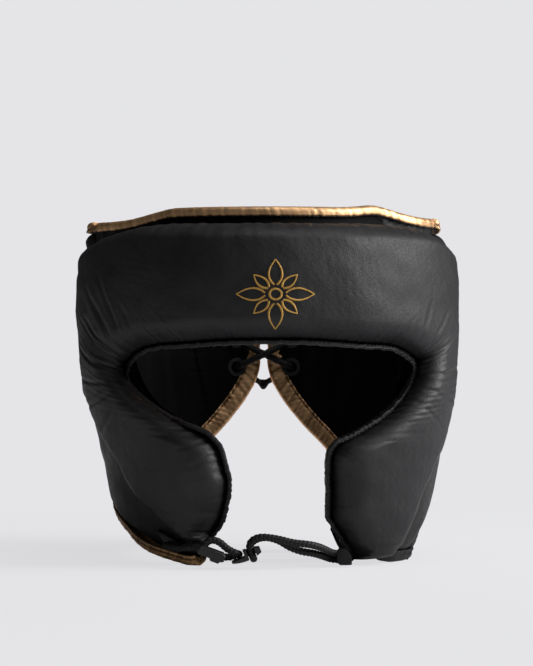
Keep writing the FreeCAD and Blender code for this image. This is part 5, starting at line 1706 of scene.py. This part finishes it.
@dataclass
class ChinClosure:
    """Strap cord, adjuster, loop, hook and doubled chin cord, with their leather ends."""

    strap_radius: float = 2.1
    cord_radius: float = 2.25

    def _cord(self, name: str, node: str, route: Sequence[tuple[float, float, float]], radius: float,
              body: str) -> bpy.types.Object:
        """One braided cord along its route."""
        line = spline_line(route, 0.34)
        made = dress(tube(name, line, radius, 20, 0.30, 9.5), "cord", body, (node,))
        return made

    def _tab(self) -> None:
        """Triangular leather tab on the right jaw flap, folded round the strap cord's end."""
        corners = [(-71.2, 21.6), (-66.0, 19.2), (-60.5, 16.6), (-54.6, 13.0)]
        under = [(-71.0, 19.6), (-65.2, 9.6), (-59.0, 7.8), (-54.0, 9.8)]
        low = Edge(tuple((View.FRONT, x, z) for x, z in under))
        high = Edge(tuple((View.FRONT, x, z) for x, z in corners))
        tab = Strip("chin_tab_leather", low, high, Filling(27.5, 29.9, 0.5, 2.0), Roll(1.2, 0.0, 30.0),
                    Roll(1.2, 0.0, 30.0),
                    60, (8, 26, 8, 3))
        tab.displace(0.14 * waves(tab.flat, 6.0, 131) * (tab.rise > 0.9))
        dress(tab.object(), "cover", "shell", ("chin_tab_right",))
        at = np.linspace(0.15, 2.9, 80)
        for edge, lift, tag in ((low, 1.3, "lower"), (high, -1.3, "upper")):
            turn, height = edge.on_wall(at, np.full(at.shape, 29.9))
            path = FORM.point(turn, height + lift, 30.3)
            row = thread_row(f"chin_tab_{tag}_stitches", path, FORM.normal(turn, height, 30.0), TAB_STITCH)
            dress(row, "black_thread", "shell")

    def _anchor(self) -> None:
        """Folded leather end on the left cheek: a strip that is doubled over the cord's two ends."""
        turn = np.linspace(-math.pi / 2, math.pi / 2, 15)
        steps, sides = 26, 72
        middle_height = 6.1
        rows = np.linspace(-83.8, -72.7, steps)
        fold = np.stack([41.4 - 2.1 * np.cos(turn), middle_height + 4.7 * np.sin(turn)], -1)
        top = np.array([[44.2, 10.9], [45.6, 9.9], [47.9, 6.7], [48.1, 5.0], [48.1, 2.4], [47.4, 1.5]])
        ring = np.vstack([fold, top])
        fine = curve_through(ring, np.linspace(0, len(ring), sides, endpoint=False), True)
        swell = 1 + 0.05 * np.sin((rows + 78.0) * 0.55)[:, None]
        across = np.broadcast_to(fine[:, 0], (steps, sides)) + (swell - 1) * (fine[:, 0] - 44.5)
        height = np.clip(middle_height + (fine[:, 1] - middle_height) * swell, 1.25, 11.0)
        points = np.stack([across, np.broadcast_to(rows[:, None], (steps, sides)), height], -1)
        quads = grid_quads(steps, sides, False, True)
        piece = write_mesh("chin_anchor_leather", points, quads, end_rings(steps, sides))
        soften(piece, 0.0006, 3, 50)
        dress(piece, "panel", "shell", ("chin_anchor_left",))

    def build(self) -> None:
        """Makes the closure."""
        self._tab()
        self._anchor()
        for name in ("strap_adjuster", "clasp_hook"):
            finish_node(name, "plastic", 0.00045, 3, 28)
        self._cord("chin_strap_braid", "chin_strap_cord", STRAP_ROUTE, self.strap_radius, "shell")
        self._cord("chin_loop_braid", "chin_loop_cord", LOOP_ROUTE, self.cord_radius, "adjuster")
        self._cord("chin_cord_braid", "chin_cord", CHIN_ROUTE, self.cord_radius, "shell")


# ------------------------------------------------------------------ studio
@dataclass(frozen=True)
class Lamp:
    """A square soft lamp: its place and width in metres, and its power in watts."""

    name: str
    place: tuple[float, float, float]
    width: float
    power: float


LAMPS = (Lamp("key", (1.63, -0.26, 0.88), 1.0, 50.0), Lamp("front", (0.75, -1.6, 1.4), 0.9, 3.9),
         Lamp("top", (0.35, -0.25, 1.9), 1.1, 12.0))


@dataclass
class Studio:
    """Pale floor, even backdrop, soft lamps and the camera."""

    backdrop: tuple[float, float, float] = (0.783, 0.783, 0.807)
    floor: tuple[float, float, float] = (0.80, 0.80, 0.82)
    fill_strength: float = 0.05
    even_share: float = 0.86
    fade: tuple[float, float] = (0.10, 0.75)
    middle: float = 0.11
    distance: float = 1.700
    height: float = 0.142
    azimuth: float = -1.6
    lens: float = 144.4
    shift_right: float = -0.00127

    def build(self) -> None:
        """Makes the floor, the world, the lamps and the camera."""
        self._floor()
        self._world()
        for lamp in LAMPS:
            self._hang(lamp)
        self._camera()
        bpy.context.scene.view_settings.view_transform = "Standard"

    def _floor(self) -> None:
        """A round floor: lit paper near the object that passes into the even backdrop further out."""
        sides = 96
        turn = np.linspace(0, 2 * math.pi, sides, endpoint=False)
        reach = np.array([0.05, 0.2, 0.5, 1.0, 2.0, 4.0, 8.0, 14.0]) / MM
        rings = len(reach)
        level = np.zeros((rings, sides))
        points = np.stack([reach[:, None] * np.cos(turn), reach[:, None] * np.sin(turn), level], -1)
        quads = grid_quads(rings, sides, False, True)
        ground = write_mesh("floor", points, quads, [np.arange(sides)], outwards=False)
        if ground.data.polygons[0].normal.z < 0:
            ground.data.flip_normals()
        bench = Bench("pale_floor")
        away = bench.node("ShaderNodeVectorMath", {"operation": "LENGTH"}, {0: bench.place()}, "Value")
        lit = bench.node("ShaderNodeBsdfDiffuse", {}, {"Color": (*self.floor, 1.0), "Roughness": 0.4})
        even = bench.node("ShaderNodeEmission", {}, {"Color": (*self.backdrop, 1.0), "Strength": 1.0})
        seen = bench.node("ShaderNodeLightPath", output="Is Camera Ray")
        share = (self.even_share + away.ramp(*self.fade) * (1 - self.even_share)) * seen
        bench.node_output(bench.node("ShaderNodeMixShader", {}, {0: share, 1: lit, 2: even}))
        ground.data.materials.append(bench.material)

    def _world(self) -> None:
        """The backdrop for the camera, and a faint light from all round for everything else."""
        world = bpy.data.worlds.new("studio")
        bpy.context.scene.world = world
        world.use_nodes = True
        tree = world.node_tree
        tree.nodes.clear()
        path = tree.nodes.new("ShaderNodeLightPath")
        seen, soft = tree.nodes.new("ShaderNodeBackground"), tree.nodes.new("ShaderNodeBackground")
        mix, out = tree.nodes.new("ShaderNodeMixShader"), tree.nodes.new("ShaderNodeOutputWorld")
        seen.inputs["Color"].default_value = (*self.backdrop, 1.0)
        soft.inputs["Color"].default_value = (*self.floor, 1.0)
        soft.inputs["Strength"].default_value = self.fill_strength
        tree.links.new(path.outputs["Is Camera Ray"], mix.inputs[0])
        tree.links.new(soft.outputs[0], mix.inputs[1])
        tree.links.new(seen.outputs[0], mix.inputs[2])
        tree.links.new(mix.outputs[0], out.inputs[0])

    def _hang(self, lamp: Lamp) -> None:
        """Hangs a lamp so that it looks at the object's middle."""
        light = bpy.data.lights.new(lamp.name, "AREA")
        light.shape, light.size, light.energy = "SQUARE", lamp.width, lamp.power
        holder = bpy.data.objects.new(lamp.name, light)
        holder.location = lamp.place
        holder.rotation_mode = "QUATERNION"
        aim = Vector((0, 0, self.middle)) - Vector(lamp.place)
        holder.rotation_quaternion = aim.to_track_quat("-Z", "Y")
        bpy.context.scene.collection.objects.link(holder)

    def _camera(self) -> None:
        """A level camera in front of the face."""
        lens = bpy.data.cameras.new("camera")
        lens.lens, lens.sensor_width, lens.clip_end = self.lens, 36.0, 60.0
        holder = bpy.data.objects.new("camera", lens)
        turn = math.radians(self.azimuth)
        right = Vector((math.cos(turn), math.sin(turn), 0))
        back = Vector((math.sin(turn), -math.cos(turn), 0))
        holder.location = back * self.distance + right * self.shift_right + Vector((0, 0, self.height))
        holder.rotation_mode = "QUATERNION"
        holder.rotation_quaternion = (-back).to_track_quat("-Z", "Y")
        bpy.context.scene.collection.objects.link(holder)
        bpy.context.scene.camera = holder


def main() -> None:
    """Builds the studio and the headgear."""
    logging.basicConfig(level=logging.INFO, format="%(name)s: %(message)s")
    Studio().build()
    ChinClosure().build()
    Lacing().build()
    FrontPad().build()
    FrontLining().build()
    for side in Side:
        SidePanel(side).build()
        Wing(side).build()
    bpy.context.view_layer.update()


if __name__ == "__main__":
    main()
